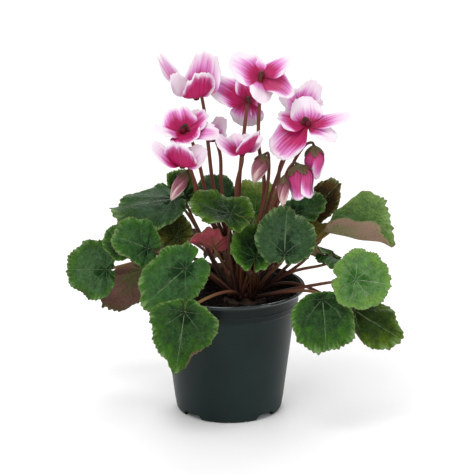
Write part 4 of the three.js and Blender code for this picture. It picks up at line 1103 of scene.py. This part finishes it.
def petalLook(name, tints):
    look = Look(name)
    along, across, seed = look.values("petal")
    blush, inTube, outside = look.values("tint")
    streak = look.cloud(1.0, 3, look.vector(across * 7.0, along * 0.9, seed * 3.7)) - 0.5
    hair = look.cloud(1.0, 2, look.vector(across * 26.0, along * 1.3, seed * 5.1)) - 0.5
    blotch = look.cloud(1.0, 2, look.vector(across * 1.2, along * 1.6, seed * 2.3)) - 0.5
    way = along + streak * 0.34 + hair * 0.4 + blotch * 0.4 + abs(across) ** 2.5 * along * 0.45
    fade = ((way - blush + 0.16) / 0.34).step(0.0, 1.0) * along.step(0.2, 0.45)
    deep = look.blend(along.step(0.02, 0.5), tints["deep"], tints["rose"])
    colour = look.blend(fade, deep, tints["pink"])
    pale = ((way - blush - 0.06) / 0.34).step(0.0, 1.0) * along.step(0.42, 0.7)
    lines = look.cloud(1.0, 2, look.vector(across * 16.0, along * 0.7, seed * 1.9)).step(0.48, 0.66)
    colour = look.blend(lines * tints["lines"] * (1 - pale * 0.8), colour, tints["line"])
    rim = (1 - abs(across) + hair * 0.16).least((1 - along) * 1.6 + hair * 0.2)
    edge = (1 - rim.step(0.06, 0.21)) * along.step(0.55, 0.8) * tints["rim"]
    colour = look.blend(pale.most(edge), colour, tints["white"])
    colour = look.blend(outside * 0.15, colour, tints["white"])
    # the tube's inside, and faintly a bud's core, take the throat tint: a bloom's dark eye, deepened as
    # painted shade
    look.wire("Base Color", look.blend(inTube, colour, tints["throat"]))
    look.wire("Roughness", 0.5 + hair * 0.2)
    look.bump(hair * 0.5 + streak, 0.3, 0.0004)
    look.fix(Specular_IOR_Level=0.2)
    return look.material


def flowerStem(item, top):
    root = crownPoint(stalks["bunchRing"], stalks["bunchAngles"][item["bunch"]])
    first = Vector(item["stem"][0])
    root = root + Vector((first.x - root.x, first.y - root.y, 0)).normalized() * stalks["flowerRoot"]
    low = root.lerp(first, stalks["flowerLow"])
    low.x -= stalks["flowerBow"] * (first.x - root.x)
    low.y -= stalks["flowerBow"] * (first.y - root.y)
    knots = [root, low, *[Vector(p) for p in item["stem"]], *top]
    return [throughPoints(knots, share) for share in steps(0, 1, 2 * stalks["steps"])]


def petalSolid(form, seed, place):
    # closed petal; place turns t, from root to tip, and s, from -1 to 1 across, into a point
    spots = [(t, s) for t in steps(0, 1, form["rows"] - 1) for s in steps(-1, 1, form["columns"] - 1)]
    faces, border = gridFaces(form["rows"], form["columns"]), gridBorder(form["rows"], form["columns"])
    points, closed = thicken([place(t, s) for t, s in spots], faces, border, form["thickness"])
    return points, closed, [(t, s, seed) for t, s in spots] * 2


def bloomPetal(bloom, reach, wide, turn, seed):
    # bends out of the tube and back past the calyx, widening and twisting on its way
    axis, throat, reach = Vector(bloom["axis"]).normalized(), Vector(bloom["throat"]), Vector(reach)
    aside = (reach - axis * reach.dot(axis)).normalized()
    start = throat + aside * (petalForm["startOut"] * petalForm["tubeRadius"]) - axis * petalForm["sunk"]
    end = throat + reach * petalForm["reach"]
    lip = start + aside * (petalForm["lipOut"] * reach.length)
    lip = lip - axis * (petalForm["lipDown"] * reach.length)
    twist = math.radians(petalForm["spin"] * (scatter(seed) - 0.5) + turn)

    def place(t, s):
        ragged = petalForm["rags"] * noise.noise(Vector((s * 4, seed, 0)))
        ragged += petalForm["fineRags"] * noise.noise(Vector((s * 13, seed, 5)))
        share = t * (1 - petalForm["roundTip"] * abs(s) ** 2.6 + ragged * smoothStep(t, 0.6, 1)) + 0.05 * t
        near = min(share, 1)
        centre = start * (1 - near) ** 2 + lip * (2 * near * (1 - near)) + end * near ** 2
        ahead = ((lip - start) * (1 - near) + (end - lip) * near).normalized()
        centre = centre + ahead * ((share - near) * reach.length)
        across = axis.cross(ahead).normalized()
        across = Quaternion(ahead, twist * smoothStep(near, 0, 0.8)) @ across
        swell = mix(0.2, 1, smoothStep(t, -0.05, 0.66)) * (1 - 0.1 * smoothStep(t, 0.8, 1))
        half = 0.5 * wide * swell
        bow = petalForm["cup"] * half * s * s
        bow += petalForm["frill"] * math.sin(7 * s + 3 * seed) * abs(s) * smoothStep(t, 0.3, 1)
        bow += 0.06 * wide * math.sin(2.2 * s + seed) * t - 0.08 * wide * smoothStep(t, 0.7, 1)
        return centre + across * (s * half) + ahead.cross(across) * bow

    return petalSolid(petalForm, seed, place)


def frameOf(axis):
    across = axis.cross(Vector((0.2, 0.9, 0.3))).normalized()
    return across, axis.cross(across)


def turned(profile, base, axis, turns=30, inward=False):
    # solid of revolution; profile holds radius and distance along the axis, its ends are capped
    across, other = frameOf(axis)
    points = [base + axis * z + around(across, other, math.tau * k / turns) * r
              for r, z in profile for k in range(turns)]
    return points, ringFaces(len(profile), turns, inward)


def calyx(shape, base, axis, radiusAt, length, seed, way):
    # cup of five pointed sepals from base along axis
    # way, for the colours: where they start, how far they run, and 0 for a stalk's or 1 for a sepal's
    turns, rows, wall = sepals["turns"], sepals["rows"], sepals["thickness"]
    across, other = frameOf(axis)
    points, values = [], []
    layers = [(i / rows, 0) for i in range(rows + 1)] + [(i / rows, wall) for i in range(rows, -1, -1)]
    for t, inset in layers:
        for k in range(turns):
            turn = math.tau * k / turns
            lobe = 1 - sepals["gaps"] + sepals["gaps"] * abs(math.cos(2.5 * turn + seed)) ** 1.6
            z = t * length * lobe
            ridge = sepals["ribRise"] * math.cos(sepals["ribs"] * turn) * t
            radius = max(0.05, radiusAt(z) - inset + ridge + sepals["flare"] * t ** 3 * lobe)
            points.append(base + axis * (z + inset * 0.4) + around(across, other, turn) * radius)
            values.append((way[0] + way[1] * t, k / turns, way[2]))
    shape.add(points, ringFaces(len(layers), turns), way=values)


def bloomNeck(z):
    return 0.8 + 0.75 * smoothStep(z, 0, 2)


def buildBloom(bloom, number, look, stalkShape):
    axis, throat = Vector(bloom["axis"]).normalized(), Vector(bloom["throat"])
    shape = Shape("petal", "tint")
    for k, (reach, wide, blush, turn) in enumerate(bloom["petals"]):
        points, faces, values = bloomPetal(bloom, reach, wide, turn, number * 7 + k)
        half = len(points) // 2
        tint = [(blush, 0, float(blush < 0.8))] * half + [(blush, 0, 0)] * half
        shape.add(points, faces, petal=values, tint=tint)
    shape.add(*turned(flowerTube, throat, axis, inward=True), petal=(0, 0, number), tint=(0.5, 0.7, 0))
    shape.make(bloom["name"], "bloom", look)
    away = Vector(bloom["stem"][-1]) - throat
    away = (away - axis * away.dot(axis)).normalized()
    hook = [throat + away * aside + axis * rise for aside, rise in flowerHook]
    addStalk(stalkShape, flowerStem(bloom, hook), *stalks["flowerRadii"])
    base = throat + axis * flowerCalyx["rise"]
    calyx(stalkShape, base, -axis, bloomNeck, flowerCalyx["length"], number, (0.85, 0.15, 0))


def budRadius(bud, share):
    return 0.5 * bud["girth"] * math.sin(math.pi * min(0.999, max(0.001, share)) ** 0.8) ** 0.7


def budPetal(bud, number, k, down, length):
    # one of the petals wrapped round the bud, its tip free where the bud is opening
    neck, opened = Vector(bud["neck"]), bud["opened"]
    across, other = frameOf(down)

    def place(t, s):
        ragged = budForm["rags"] * noise.noise(Vector((s * 6, k, number))) * smoothStep(t, 0.6, 1)
        share = mix(0.05, 1.0, t * (1 - budForm["roundTip"] * abs(s) ** 1.8 + ragged))
        turn = math.tau * k / budForm["petals"] + s + mix(*budForm["wrap"], opened) * share
        spread = opened * smoothStep(share, 0.45, 1)
        radius = mix(budRadius(bud, share), 0.5 * bud["girth"], spread) * (0.92 + budForm["overlap"] * s)
        radius += budForm["tipWave"] * math.sin(4 * s + k) * spread
        return neck + down * (length * share) + around(across, other, turn) * max(0.15, radius)

    return petalSolid(budForm, number * budForm["petals"] + k, place)


def buildBud(bud, number, look, stalkShape):
    neck, down = Vector(bud["neck"]), Vector(bud["point"]) - Vector(bud["neck"])
    length = down.length
    down.normalize()
    shape = Shape("petal", "tint")
    core = [(max(0.05, budForm["core"] * budRadius(bud, t)), length * t * budForm["coreReach"])
            for t in steps(0.02, 1, 20)]
    shape.add(*turned(core, neck, down), petal=(0.2, 0, number), tint=(0.9, 0.2, 0))
    for k in range(budForm["petals"]):
        points, faces, values = budPetal(bud, number, k, down, length)
        shape.add(points, faces, petal=values, tint=(bud["flush"] * 0.8, 0, 0))
    shape.make(bud["name"], "bud", look)
    addStalk(stalkShape, flowerStem(bud, [neck + down * 0.5]), *stalks["budRadii"])
    rise = budForm["calyxRise"]

    def budNeck(z):
        return rise if z < rise else budRadius(bud, (z - rise) / length) + budForm["calyxGap"]

    calyx(stalkShape, neck - down * rise, down, budNeck, budForm["calyx"] * length, number, (0, 1, 1))


def buildFlowers():
    petals, furled = petalLook("petal", petalTints), petalLook("furled petal", budTints)
    opening = petalLook("opening petal", {**petalTints, **openingTints})
    look = stalkLook("flower stalk", "flowerBase", "flowerMiddle", "flowerEnd")
    shapes = [Shape("way") for _ in bunchSides]
    for i, shape in enumerate(shapes):
        knob(shape, crownPoint(stalks["bunchRing"], stalks["bunchAngles"][i]))
    for i, bloom in enumerate(blooms):
        buildBloom(bloom, i, petals, shapes[bloom["bunch"]])
    for i, bud in enumerate(buds):
        buildBud(bud, i + 20, opening if bud["opened"] > 0.2 else furled, shapes[bud["bunch"]])
    for side, shape in zip(bunchSides, shapes):
        shape.make("flower_stalks_" + side, "flower_stalk", look)


buildFlowers()
print("flowers made")
